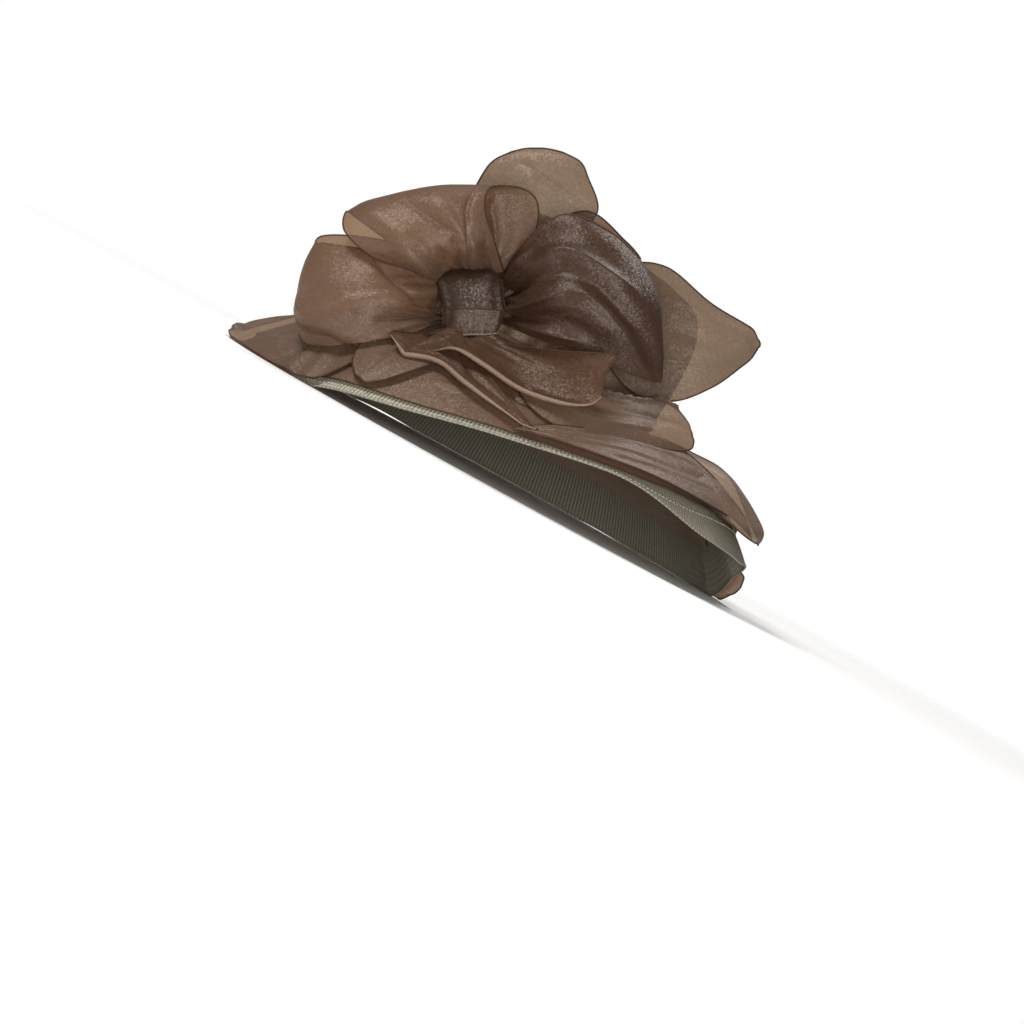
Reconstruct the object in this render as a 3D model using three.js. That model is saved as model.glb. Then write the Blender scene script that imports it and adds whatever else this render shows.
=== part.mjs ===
// A wide-brimmed dress hat of stiff sheer organza, with a puffed bow at the front of its crown.
// The hat lies on a table on the rim of its bell-shaped brim, the front of which arches up.
// X runs to the right, Y away from the side that the bow faces, Z up. Lengths are millimetres.
// Angles are degrees round the crown from +X, so 90 is the far side and 270 the bow's side.
import * as THREE from 'three';

// The crown
const HEAD_LENGTH = 196;
const HEAD_WIDTH = 170;
const HEAD_FRONT = 235;
const CROWN_HEIGHT = 112;
const CROWN_WALL = 1.6;
const CROWN_FOLDS = 12;
const CROWN_FOLD_DEPTH = 2.4;

// The brim and the ribbed band under its edge
const FOOT_HEIGHT = 80;
const BRIM_REACH = 205;
const BRIM_ARCH = 55;
const BRIM_WALL = 2;
const BRIM_BELL = 2;
const BAND_WIDTH = 24;
const BAND_WALL = 1.4;

// The petals on the brim and the bow
const PETAL_WALL = 1.1;
const PETAL_STAND = 20;
const BOW_ANGLE = 236.4;
const BOW_HEIGHT = 26;
const BOW_TILT = 28.7;
const KNOT_WIDTH = 43;
const KNOT_HEIGHT = 40;
const KNOT_DEPTH = 36;
const KNOT_STAND = 12;
const KNOT_BOXINESS = 0.3;
const LOOP_REACH = 100;
const LOOP_DEPTH = 40;

// Clearances: between faces that meet, and the room that flat facets of a curved sheet need
const GAP = 0.3;
const FACET_ROOM = 0.9;

// Facets round the crown, the brim and the band, which line up, and along and across a petal
const AROUND = 48;
const PETAL_ROWS = 10;
const PETAL_COLUMNS = 8;

const radians = THREE.MathUtils.degToRad;
const mix = THREE.MathUtils.lerp;

// Reads one column of a table at a place between its rows, along a smooth cubic.
function read(rows, column, at) {
  let low = 0;
  while (low < rows.length - 2 && at > rows[low + 1].at) low += 1;
  const slope = (index) => {
    const before = rows[Math.max(index - 1, 0)];
    const after = rows[Math.min(index + 1, rows.length - 1)];
    return (after[column] - before[column]) / (after.at - before.at);
  };
  const span = rows[low + 1].at - rows[low].at;
  const t = THREE.MathUtils.clamp((at - rows[low].at) / span, 0, 1);
  const start = rows[low][column];
  const end = rows[low + 1][column];
  const bend = slope(low) * span * t * (1 - t) ** 2 - slope(low + 1) * span * t * t * (1 - t);
  return start + (end - start) * t * t * (3 - 2 * t) + bend;
}

// The same for a table round the hat, whose last row leads on to its first.
function readAround(rows, column, angle) {
  const last = rows[rows.length - 1];
  const ring = [{ ...last, at: last.at - 360 }, ...rows];
  ring.push({ ...rows[0], at: rows[0].at + 360 }, { ...rows[1], at: rows[1].at + 360 });
  return read(ring, column, THREE.MathUtils.euclideanModulo(angle, 360));
}

// A closed sheet of even thickness. middle(v, u) is a point of its middle surface, v along the
// rows and u along the columns. A ring joins its last column to its first, a pole draws the
// last row to one point, and settle moves a finished point clear of what it rests on.
function sheet(middle, { rows, columns, wall, ring = false, pole = false, settle = null }) {
  const lines = ring ? columns : columns + 1;
  const index = (row, column) => {
    if (pole && row === rows) return rows * lines;
    return row * lines + (column % lines);
  };
  const points = [];
  for (let row = 0; row <= rows; row += 1) {
    for (let column = 0; column < lines; column += 1) {
      if (pole && row === rows && column > 0) continue;
      points.push(middle(row / rows, column / columns));
    }
  }
  const quads = [];
  for (let row = 0; row < rows; row += 1) {
    for (let column = 0; column < columns; column += 1) {
      const next = column + 1;
      quads.push([index(row, column), index(row, next), index(row + 1, next), index(row + 1, column)]);
    }
  }
  const normals = points.map(() => new THREE.Vector3());
  for (const [a, b, c, d] of quads) {
    const across = points[c].clone().sub(points[a]);
    const normal = across.cross(points[d].clone().sub(points[b]));
    for (const corner of [a, b, c, d]) normals[corner].add(normal);
  }
  const vertices = [];
  for (const side of [0.5, -0.5]) {
    points.forEach((point, at) => {
      const moved = point.clone().addScaledVector(normals[at].clone().normalize(), side * wall);
      vertices.push(settle ? settle(moved) : moved);
    });
  }
  const faces = [];
  const quad = (a, b, c, d) => {
    if (a !== b && b !== c && a !== c) faces.push(a, b, c);
    if (a !== c && c !== d && a !== d) faces.push(a, c, d);
  };
  const under = points.length;
  for (const [a, b, c, d] of quads) {
    quad(a, b, c, d);
    quad(d + under, c + under, b + under, a + under);
  }
  const edge = (a, b) => quad(b, a, a + under, b + under);
  for (let column = 0; column < columns; column += 1) {
    edge(index(0, column), index(0, column + 1));
    if (!pole) edge(index(rows, column + 1), index(rows, column));
  }
  for (let row = 0; row < rows && !ring; row += 1) {
    edge(index(row + 1, 0), index(row, 0));
    edge(index(row, columns), index(row + 1, columns));
  }
  return meshed(vertices, faces);
}

function meshed(vertices, faces) {
  const geometry = new THREE.BufferGeometry();
  const positions = vertices.flatMap((vertex) => vertex.toArray());
  geometry.setAttribute('position', new THREE.Float32BufferAttribute(positions, 3));
  geometry.setIndex(faces);
  return geometry;
}

function piece(name, geometry, color) {
  const material = new THREE.MeshStandardMaterial({ color, roughness: 0.6, metalness: 0 });
  const mesh = new THREE.Mesh(geometry, material);
  mesh.name = name;
  return mesh;
}

// The crown: a domed oval shell, open below, gathered into soft folds. Columns: out as a share
// of the head oval, up as a share of the crown's height, fold as a share of the folds' depth.
const CROWN_ROWS = [
  { at: 0, out: 1, up: 0, fold: 0 },
  { at: 0.2, out: 1.03, up: 0.25, fold: 0.3 },
  { at: 0.42, out: 1.045, up: 0.56, fold: 0.6 },
  { at: 0.6, out: 0.985, up: 0.79, fold: 1 },
  { at: 0.76, out: 0.82, up: 0.925, fold: 1 },
  { at: 0.9, out: 0.45, up: 0.99, fold: 0.5 },
  { at: 1, out: 0, up: 1, fold: 0 },
];
const CROWN_FOOT = FOOT_HEIGHT - BRIM_WALL / 2;

function headRadius(angle) {
  const long = (HEAD_LENGTH + CROWN_WALL) / 2;
  const short = (HEAD_WIDTH + CROWN_WALL) / 2;
  const turn = radians(angle - HEAD_FRONT);
  return (long * short) / Math.hypot(short * Math.cos(turn), long * Math.sin(turn));
}

function polar(angle, radius, height) {
  const turn = radians(angle);
  return new THREE.Vector3(radius * Math.cos(turn), radius * Math.sin(turn), height);
}

function crownPoint(at, angle) {
  const depth = CROWN_FOLD_DEPTH * read(CROWN_ROWS, 'fold', at);
  const fold = (depth * (1 - Math.cos(radians(angle * CROWN_FOLDS)))) / 2;
  const radius = headRadius(angle) * read(CROWN_ROWS, 'out', at) - fold;
  return polar(angle, radius, CROWN_FOOT + CROWN_HEIGHT * read(CROWN_ROWS, 'up', at));
}

// How far the crown's outer face may reach at a height, with the folds filled in. The row at
// that height is found by halving.
const HALVINGS = 24;

function crownReach(angle, height) {
  const up = (height - CROWN_FOOT) / CROWN_HEIGHT;
  if (up >= 1) return 0;
  let low = 0;
  let high = 1;
  for (let halving = 0; halving < HALVINGS; halving += 1) {
    const middle = (low + high) / 2;
    if (read(CROWN_ROWS, 'up', middle) < up) low = middle;
    else high = middle;
  }
  return headRadius(angle) * read(CROWN_ROWS, 'out', low) + CROWN_WALL / 2;
}

const crownGrid = { rows: 8, columns: AROUND, wall: CROWN_WALL, ring: true, pole: true };
const crown = piece('crown', sheet((v, u) => crownPoint(v, 360 * u), crownGrid), 0x7d6654);

// The brim, a bell whose rim rests on the table at the back and the sides and arches up in
// front. Columns: rise as a share of the arch, reach as a share of the brim's reach, show as
// the share of the ribbed band that the cloth leaves bare, bell as a share of BRIM_BELL.
const RIM = [
  { at: 0, rise: 0.42, reach: 0.975, show: 0.75, bell: 1 },
  { at: 12, rise: 0.13, reach: 0.995, show: 0.65, bell: 1 },
  { at: 22, rise: -0.05, reach: 1.01, show: 0.55, bell: 1 },
  { at: 36, rise: -0.05, reach: 1.02, show: 0.5, bell: 1 },
  { at: 60, rise: 0.05, reach: 1, show: 0.4, bell: 1 },
  { at: 90, rise: -0.05, reach: 0.97, show: 0.4, bell: 1 },
  { at: 120, rise: 0.06, reach: 0.97, show: 0.4, bell: 1 },
  { at: 150, rise: -0.05, reach: 0.97, show: 0.4, bell: 0.95 },
  { at: 180, rise: 0.04, reach: 1, show: 0.4, bell: 0.8 },
  { at: 205, rise: -0.05, reach: 0.98, show: 0.4, bell: 0.8 },
  { at: 220, rise: -0.05, reach: 0.955, show: 0.4, bell: 0.85 },
  { at: 234, rise: 0.16, reach: 0.94, show: 0.4, bell: 0.95 },
  { at: 250, rise: 0.36, reach: 0.93, show: 0.35, bell: 1 },
  { at: 270, rise: 0.64, reach: 0.93, show: 0.22, bell: 1 },
  { at: 300, rise: 0.95, reach: 0.95, show: 0.2, bell: 1 },
  { at: 325, rise: 0.92, reach: 0.99, show: 0.65, bell: 1 },
  { at: 345, rise: 0.8, reach: 1, show: 0.8, bell: 1 },
  { at: 354, rise: 0.6, reach: 0.99, show: 0.8, bell: 1 },
];
const FOOT_OUT = CROWN_WALL / 2 + GAP;

function brimLength(angle) {
  return BRIM_REACH * readAround(RIM, 'reach', angle) - headRadius(angle) - FOOT_OUT;
}

// share runs from 0 at the crown's foot to 1 at the rim, and past the rim the brim goes on level.
function brimPoint(angle, share) {
  const rim = BRIM_ARCH * Math.max(readAround(RIM, 'rise', angle), 0);
  const fall = (FOOT_HEIGHT - rim) * Math.min(share, 1) ** (BRIM_BELL * readAround(RIM, 'bell', angle));
  return polar(angle, headRadius(angle) + FOOT_OUT + share * brimLength(angle), FOOT_HEIGHT - fall);
}

// The steps over which the brim's slope is taken
const SHARE_STEP = 0.01;
const ANGLE_STEP = 0.01;

function brimNormal(angle, share) {
  const out = brimPoint(angle, share).sub(brimPoint(angle, share - SHARE_STEP));
  const round = brimPoint(angle + ANGLE_STEP, share).sub(brimPoint(angle - ANGLE_STEP, share));
  return out.cross(round).normalize();
}

const bandStart = (angle) => 1 - BAND_WIDTH / brimLength(angle);
const clothEnd = (angle) => 1 - (BAND_WIDTH * readAround(RIM, 'show', angle)) / brimLength(angle);

// The cloth's last row of facets is the one that lies on the band.
const BRIM_ROWS = 7;
const brim = piece('brim', sheet((v, u) => {
  const angle = 360 * u;
  const inner = bandStart(angle) * Math.min((v * BRIM_ROWS) / (BRIM_ROWS - 1), 1);
  return brimPoint(angle, v === 1 ? clothEnd(angle) : inner);
}, { rows: BRIM_ROWS, columns: AROUND, wall: BRIM_WALL, ring: true }), 0x80695a);

const BAND_DROP = (BRIM_WALL + BAND_WALL) / 2 + GAP + FACET_ROOM / 3;
const onTable = (point) => point.setZ(Math.max(point.z, 0));
const edgeBand = piece('edge_band', sheet((v, u) => {
  const angle = 360 * u;
  const share = [bandStart(angle), clothEnd(angle), 1][Math.round(2 * v)];
  return brimPoint(angle, share).addScaledVector(brimNormal(angle, Math.min(share, 1)), -BAND_DROP);
}, { rows: 2, columns: AROUND, wall: BAND_WALL, ring: true, settle: onTable }), 0x77786b);

// A petal on the brim, between two hems that run from the crown's foot to its tip. Columns:
// angle1, out1, angle2, out2 place the hems; lift1, lift2 and puff are shares of PETAL_STAND.
const PETAL_ROOT = (BRIM_WALL + PETAL_WALL) / 2 + GAP;
const PETAL_SEAT = PETAL_ROOT + FACET_ROOM;
const PETAL_LAYER = PETAL_WALL + GAP + FACET_ROOM;

// Sewn down at its root. beneath is how many petals lie between the rest of it and the brim.
function brimPetal(name, table, color, beneath = 0) {
  const middle = (v, u) => {
    const seat = mix(PETAL_ROOT, PETAL_SEAT + PETAL_LAYER * beneath, Math.min(v * PETAL_ROWS, 1));
    const at = (column) => read(table, column, v);
    const angle = mix(at('angle1'), at('angle2'), u);
    const share = mix(at('out1'), at('out2'), u);
    const lift = mix(at('lift1'), at('lift2'), u) + at('puff') * 4 * u * (1 - u);
    const point = brimPoint(angle, share);
    return point.addScaledVector(brimNormal(angle, Math.min(share, 1)), seat + PETAL_STAND * lift);
  };
  const grid = { rows: PETAL_ROWS, columns: PETAL_COLUMNS, wall: PETAL_WALL };
  return piece(name, sheet(middle, grid), color);
}

const LEFT_PETAL = [
  { at: 0, angle1: 222, out1: 0.01, angle2: 196, out2: 0.01, lift1: 0, lift2: 0, puff: 0 },
  { at: 0.25, angle1: 232, out1: 0.5, angle2: 188, out2: 0.3, lift1: 0, lift2: 0, puff: 0 },
  { at: 0.45, angle1: 229, out1: 0.97, angle2: 180, out2: 0.5, lift1: 0, lift2: 0.05, puff: 0 },
  { at: 0.65, angle1: 215, out1: 1.05, angle2: 176, out2: 0.7, lift1: 0, lift2: 0.1, puff: 0.05 },
  { at: 0.85, angle1: 197, out1: 1.07, angle2: 177, out2: 0.9, lift1: 0, lift2: 0.15, puff: 0.05 },
  { at: 1, angle1: 184.5, out1: 1.08, angle2: 182, out2: 1.07, lift1: 0, lift2: 0.05, puff: 0 },
];
const FRONT_PETAL = [
  { at: 0, angle1: 226, out1: 0.06, angle2: 250, out2: 0.06, lift1: 0, lift2: 0, puff: 0 },
  { at: 0.4, angle1: 223, out1: 0.42, angle2: 251, out2: 0.42, lift1: 0.03, lift2: 0, puff: 0 },
  { at: 0.7, angle1: 227, out1: 0.68, angle2: 247, out2: 0.72, lift1: 0.05, lift2: 0, puff: 0 },
  { at: 0.9, angle1: 232, out1: 0.85, angle2: 243, out2: 0.9, lift1: 0.05, lift2: 0, puff: 0 },
  { at: 1, angle1: 236, out1: 0.93, angle2: 240, out2: 0.96, lift1: 0.03, lift2: 0, puff: 0 },
];
const STANDING_PETAL = [
  { at: 0, angle1: 262, out1: 0.3, angle2: 270, out2: 0.01, lift1: 0, lift2: 0, puff: 0 },
  { at: 0.25, angle1: 272, out1: 0.7, angle2: 285, out2: 0.05, lift1: 0, lift2: 0.2, puff: 0.3 },
  { at: 0.45, angle1: 285, out1: 0.82, angle2: 298, out2: 0.12, lift1: 0, lift2: 0.5, puff: 0.4 },
  { at: 0.65, angle1: 302, out1: 0.68, angle2: 310, out2: 0.2, lift1: 0.2, lift2: 1.1, puff: 0.4 },
  { at: 0.85, angle1: 316, out1: 0.58, angle2: 319, out2: 0.28, lift1: 0.5, lift2: 1.45, puff: 0.3 },
  { at: 1, angle1: 323, out1: 0.52, angle2: 323, out2: 0.42, lift1: 0.9, lift2: 1.3, puff: 0 },
];
const RIGHT_PETAL = [
  { at: 0, angle1: 300, out1: 0.01, angle2: 350, out2: 0.01, lift1: 0, lift2: 0.05, puff: 0 },
  { at: 0.3, angle1: 303, out1: 0.5, angle2: 354, out2: 0.3, lift1: 0, lift2: 0.5, puff: 0 },
  { at: 0.55, angle1: 313, out1: 0.77, angle2: 355, out2: 0.53, lift1: 0, lift2: 0.75, puff: 0 },
  { at: 0.8, angle1: 327, out1: 0.93, angle2: 353, out2: 0.8, lift1: 0, lift2: 0.5, puff: 0.1 },
  { at: 0.93, angle1: 335, out1: 0.99, angle2: 347, out2: 0.94, lift1: 0.05, lift2: 0.25, puff: 0.1 },
  { at: 1, angle1: 340, out1: 1, angle2: 343, out2: 1, lift1: 0.1, lift2: 0.15, puff: 0 },
];
const BACK_PETAL = [
  { at: 0, angle1: 358, out1: 0.01, angle2: 400, out2: 0.01, lift1: 0, lift2: 0, puff: 0 },
  { at: 0.4, angle1: 359, out1: 0.45, angle2: 400, out2: 0.45, lift1: 0, lift2: 0.1, puff: 0.1 },
  { at: 0.75, angle1: 358, out1: 0.9, angle2: 395, out2: 0.85, lift1: 0, lift2: 0.1, puff: 0.1 },
  { at: 0.92, angle1: 359, out1: 1.03, angle2: 389, out2: 1.02, lift1: 0, lift2: 0, puff: 0.05 },
  { at: 1, angle1: 365, out1: 1.06, angle2: 380, out2: 1.05, lift1: 0, lift2: 0, puff: 0 },
];

// The bow stands on the crown's front. Its own frame has x to the right along its tilt, y up
// and z towards the viewer.
const bow = new THREE.Group();
const bowFoot = crownReach(BOW_ANGLE, FOOT_HEIGHT + BOW_HEIGHT) + KNOT_STAND;
const tilt = radians(BOW_TILT);
bow.matrix.makeBasis(
  new THREE.Vector3(Math.cos(tilt), 0, Math.sin(tilt)),
  new THREE.Vector3(-Math.sin(tilt), 0, Math.cos(tilt)),
  new THREE.Vector3(0, -1, 0),
);
bow.matrix.setPosition(polar(BOW_ANGLE, bowFoot, FOOT_HEIGHT + BOW_HEIGHT));
bow.matrix.decompose(bow.position, bow.quaternion, bow.scale);
bow.updateMatrixWorld(true);

// Moves a point of the bow out of the crown, and up off the brim and the petals that lie on it.
// RIM_ROOM is how far past the rim it still does so, as a share of the brim's width.
const RIM_ROOM = 0.1;

function clearOfHat(point, room, beneath) {
  bow.localToWorld(point);
  const angle = THREE.MathUtils.radToDeg(Math.atan2(point.y, point.x));
  const out = Math.hypot(point.x, point.y);
  const reach = crownReach(angle, point.z) + room;
  if (out < reach && point.z < CROWN_FOOT + CROWN_HEIGHT) {
    point.x *= reach / out;
    point.y *= reach / out;
  }
  const past = Math.max(out, reach) - headRadius(angle) - FOOT_OUT;
  const share = Math.max(past / brimLength(angle), SHARE_STEP);
  const seat = (PETAL_SEAT + PETAL_LAYER * beneath) / brimNormal(angle, Math.min(share, 1)).z;
  if (share < 1 + RIM_ROOM) point.z = Math.max(point.z, brimPoint(angle, share).z + seat);
  return bow.worldToLocal(point);
}

// The knot: a padded fold of cloth, boxy where the loops leave it.
function knotGeometry() {
  const rows = 8;
  const columns = 18;
  const layers = 2;
  const boxy = (value) => Math.sign(value) * Math.abs(value) ** KNOT_BOXINESS;
  const vertices = [];
  for (let row = 0; row <= rows; row += 1) {
    const rise = Math.PI * (row / rows - 0.5);
    for (let column = 0; column < (row % rows ? columns : 1); column += 1) {
      const turn = (2 * Math.PI * column) / columns;
      const half = boxy(Math.cos(rise)) / 2;
      const x = KNOT_WIDTH * half * boxy(Math.cos(turn));
      const z = KNOT_DEPTH * half * boxy(Math.sin(turn));
      const point = new THREE.Vector3(x, (KNOT_HEIGHT / 2) * boxy(Math.sin(rise)), z);
      vertices.push(clearOfHat(point, GAP + FACET_ROOM / 2, layers));
    }
  }
  const index = (row, column) => {
    if (row === 0) return 0;
    return row === rows ? vertices.length - 1 : 1 + (row - 1) * columns + (column % columns);
  };
  const faces = [];
  for (let row = 0; row < rows; row += 1) {
    for (let column = 0; column < columns; column += 1) {
      const a = index(row, column);
      const b = index(row, column + 1);
      const c = index(row + 1, column + 1);
      const d = index(row + 1, column);
      if (row > 0) faces.push(a, c, b);
      if (row < rows - 1) faces.push(a, d, c);
    }
  }
  return meshed(vertices, faces);
}

const SMALL_GRID = { rows: PETAL_ROWS, columns: PETAL_COLUMNS };
const LOOP_GRID = { rows: 18, columns: 10 };

// A petal or loop of the bow, between two hems. Columns: x1, y1, x2, y2 place the hems as
// shares of LOOP_REACH from where it leaves the knot; fore1, fore2 and puff are shares of
// LOOP_DEPTH, towards the viewer; crest bows a row in its own plane, as a share of LOOP_REACH.
function bowPetal(name, from, table, color, { grid = SMALL_GRID, beneath = 0 } = {}) {
  const middle = (v, u) => {
    const at = (column) => read(table, column, v);
    const start = new THREE.Vector2(at('x1'), at('y1'));
    const chord = new THREE.Vector2(at('x2'), at('y2')).sub(start);
    const swell = 4 * u * (1 - u);
    const spot = start.clone().addScaledVector(chord, u);
    const side = new THREE.Vector2(-chord.y, chord.x).normalize();
    spot.addScaledVector(side, at('crest') * swell);
    const fore = mix(at('fore1'), at('fore2'), u) + at('puff') * swell;
    const point = new THREE.Vector3(spot.x, spot.y, 0).multiplyScalar(LOOP_REACH).add(from);
    point.z = fore * LOOP_DEPTH;
    const room = PETAL_WALL / 2 + GAP + FACET_ROOM * Math.min(v * PETAL_ROWS, 1);
    return clearOfHat(point, room, beneath);
  };
  return piece(name, sheet(middle, { ...grid, wall: PETAL_WALL }), color);
}

const KNOT_MIDDLE = new THREE.Vector3();
const KNOT_TOP = new THREE.Vector3(0, KNOT_HEIGHT / 2 + GAP, 0);
const KNOT_BOTTOM = KNOT_TOP.clone().negate();
const KNOT_RIGHT = new THREE.Vector3(KNOT_WIDTH / 2 + GAP, 0, 0);
const KNOT_LEFT = KNOT_RIGHT.clone().negate();

// The upper loop: up in front, over its top and down behind, wider to the right behind.
const TOP_LOOP = [
  { at: 0, x1: -0.2, y1: 0, x2: 0.2, y2: 0, fore1: 0.35, fore2: 0.4, puff: 0, crest: 0 },
  { at: 0.13, x1: -0.42, y1: 0.02, x2: 0.15, y2: 0.19, fore1: 0.6, fore2: 0.6, puff: 0.25, crest: 0 },
  { at: 0.27, x1: -0.68, y1: 0.09, x2: 0.1, y2: 0.37, fore1: 0.65, fore2: 0.65, puff: 0.35, crest: 0.02 },
  { at: 0.4, x1: -0.88, y1: 0.27, x2: 0.1, y2: 0.52, fore1: 0.45, fore2: 0.6, puff: 0.3, crest: 0.05 },
  { at: 0.5, x1: -0.88, y1: 0.41, x2: 0.16, y2: 0.58, fore1: 0.1, fore2: 0.4, puff: 0.15, crest: 0.07 },
  { at: 0.6, x1: -0.8, y1: 0.37, x2: 0.36, y2: 0.57, fore1: -0.2, fore2: 0.25, puff: 0, crest: 0.05 },
  { at: 0.74, x1: -0.62, y1: 0.24, x2: 0.46, y2: 0.45, fore1: -0.2, fore2: 0.2, puff: 0, crest: 0 },
  { at: 0.88, x1: -0.4, y1: 0.09, x2: 0.42, y2: 0.21, fore1: 0, fore2: 0.15, puff: 0, crest: 0 },
  { at: 1, x1: -0.18, y1: 0, x2: 0.24, y2: 0, fore1: 0.05, fore2: 0.1, puff: 0, crest: 0 },
];
const LEFT_LOOP = [
  { at: 0, x1: 0, y1: -0.17, x2: 0, y2: 0.17, fore1: 0.35, fore2: 0.1, puff: 0, crest: 0 },
  { at: 0.14, x1: -0.2, y1: -0.32, x2: -0.2, y2: 0.3, fore1: 0.8, fore2: 0.2, puff: 0.15, crest: 0 },
  { at: 0.28, x1: -0.48, y1: -0.36, x2: -0.48, y2: 0.4, fore1: 1, fore2: 0.1, puff: 0.3, crest: 0 },
  { at: 0.4, x1: -0.76, y1: -0.33, x2: -0.76, y2: 0.43, fore1: 0.8, fore2: -0.1, puff: 0.35, crest: 0 },
  { at: 0.5, x1: -1, y1: -0.24, x2: -0.95, y2: 0.4, fore1: 0.3, fore2: -0.3, puff: 0.1, crest: -0.02 },
  { at: 0.6, x1: -0.9, y1: -0.2, x2: -0.83, y2: 0.42, fore1: -0.1, fore2: -0.6, puff: 0, crest: 0 },
  { at: 0.76, x1: -0.53, y1: -0.18, x2: -0.48, y2: 0.36, fore1: -0.25, fore2: -0.6, puff: -0.1, crest: 0 },
  { at: 0.9, x1: -0.2, y1: -0.14, x2: -0.18, y2: 0.24, fore1: -0.15, fore2: -0.3, puff: 0, crest: 0 },
  { at: 1, x1: 0, y1: -0.13, x2: 0, y2: 0.15, fore1: -0.1, fore2: -0.2, puff: 0, crest: 0 },
];
const RIGHT_LOOP = [
  { at: 0, x1: 0, y1: -0.16, x2: 0, y2: 0.16, fore1: 0.4, fore2: 0.4, puff: 0, crest: 0 },
  { at: 0.13, x1: 0.28, y1: -0.29, x2: 0.14, y2: 0.4, fore1: 0.9, fore2: 0.65, puff: 0.2, crest: 0 },
  { at: 0.26, x1: 0.6, y1: -0.4, x2: 0.42, y2: 0.58, fore1: 1.1, fore2: 0.75, puff: 0.4, crest: 0 },
  { at: 0.38, x1: 0.9, y1: -0.53, x2: 0.74, y2: 0.46, fore1: 1, fore2: 0.7, puff: 0.4, crest: -0.02 },
  { at: 0.48, x1: 1.1, y1: -0.58, x2: 0.95, y2: 0.28, fore1: 0.7, fore2: 0.5, puff: 0.2, crest: -0.07 },
  { at: 0.58, x1: 1.02, y1: -0.45, x2: 0.86, y2: 0.4, fore1: 0.4, fore2: 0.25, puff: 0, crest: -0.05 },
  { at: 0.72, x1: 0.68, y1: -0.3, x2: 0.58, y2: 0.62, fore1: 0.35, fore2: 0.2, puff: 0, crest: 0 },
  { at: 0.87, x1: 0.28, y1: -0.18, x2: 0.24, y2: 0.45, fore1: 0.3, fore2: 0.1, puff: 0, crest: 0 },
  { at: 1, x1: 0, y1: -0.12, x2: 0, y2: 0.12, fore1: 0.15, fore2: 0.05, puff: 0, crest: 0 },
];
const UPPER_LEAF = [
  { at: 0, x1: -0.05, y1: 0.01, x2: 0.12, y2: 0.01, fore1: -0.3, fore2: -0.2, puff: 0, crest: 0 },
  { at: 0.3, x1: -0.07, y1: 0.27, x2: 0.55, y2: 0.17, fore1: -0.45, fore2: -0.1, puff: 0, crest: 0 },
  { at: 0.6, x1: -0.01, y1: 0.55, x2: 0.87, y2: 0.41, fore1: -0.5, fore2: -0.2, puff: 0.1, crest: 0.03 },
  { at: 0.85, x1: 0.09, y1: 0.74, x2: 0.8, y2: 0.7, fore1: -0.5, fore2: -0.35, puff: 0.1, crest: 0.05 },
  { at: 1, x1: 0.26, y1: 0.86, x2: 0.67, y2: 0.85, fore1: -0.5, fore2: -0.45, puff: 0, crest: 0.02 },
];
const SIDE_LEAF = [
  { at: 0, x1: 0.78, y1: -0.16, x2: 0.82, y2: 0.06, fore1: 0, fore2: 0, puff: 0, crest: 0 },
  { at: 0.25, x1: 1.08, y1: -0.6, x2: 1.05, y2: 0.25, fore1: -0.35, fore2: -0.2, puff: 0, crest: 0 },
  { at: 0.5, x1: 1.4, y1: -0.7, x2: 1.37, y2: 0.25, fore1: -0.6, fore2: -0.6, puff: 0, crest: 0 },
  { at: 0.72, x1: 1.7, y1: -0.6, x2: 1.69, y2: 0, fore1: -0.8, fore2: -0.9, puff: 0.1, crest: 0 },
  { at: 0.9, x1: 1.93, y1: -0.44, x2: 1.95, y2: -0.15, fore1: -1.1, fore2: -1.1, puff: 0.1, crest: 0 },
  { at: 1, x1: 2.03, y1: -0.34, x2: 2.04, y2: -0.24, fore1: -1.2, fore2: -1.2, puff: 0, crest: -0.02 },
];
const RIGHT_TAIL = [
  { at: 0, x1: -0.06, y1: 0, x2: 0.12, y2: 0, fore1: 0.4, fore2: 0.3, puff: 0, crest: 0 },
  { at: 0.3, x1: 0.14, y1: -0.205, x2: 0.3, y2: -0.105, fore1: 1.1, fore2: 0.8, puff: -0.2, crest: 0 },
  { at: 0.6, x1: 0.38, y1: -0.425, x2: 0.6, y2: -0.165, fore1: 1.6, fore2: 1.4, puff: -0.3, crest: 0 },
  { at: 0.82, x1: 0.66, y1: -0.525, x2: 0.86, y2: -0.185, fore1: 1.9, fore2: 1.7, puff: -0.2, crest: 0 },
  { at: 1, x1: 0.87, y1: -0.495, x2: 0.99, y2: -0.205, fore1: 1.9, fore2: 1.8, puff: 0, crest: 0 },
];
const LEFT_TAIL = [
  { at: 0, x1: -0.54, y1: -0.055, x2: -0.53, y2: -0.025, fore1: 1.25, fore2: 1.2, puff: 0, crest: 0 },
  { at: 0.25, x1: -0.44, y1: -0.195, x2: -0.32, y2: -0.035, fore1: 1.35, fore2: 0.8, puff: 0.05, crest: 0 },
  { at: 0.5, x1: -0.28, y1: -0.385, x2: -0.09, y2: 0, fore1: 1.5, fore2: 0.4, puff: 0.1, crest: 0 },
  { at: 0.7, x1: -0.12, y1: -0.525, x2: -0.04, y2: -0.305, fore1: 1.7, fore2: 1.1, puff: 0.05, crest: 0 },
  { at: 0.85, x1: 0.08, y1: -0.665, x2: 0.15, y2: -0.565, fore1: 1.95, fore2: 1.7, puff: 0, crest: 0 },
  { at: 1, x1: 0.38, y1: -0.825, x2: 0.42, y2: -0.785, fore1: 2.25, fore2: 2.2, puff: 0, crest: 0 },
];

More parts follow.
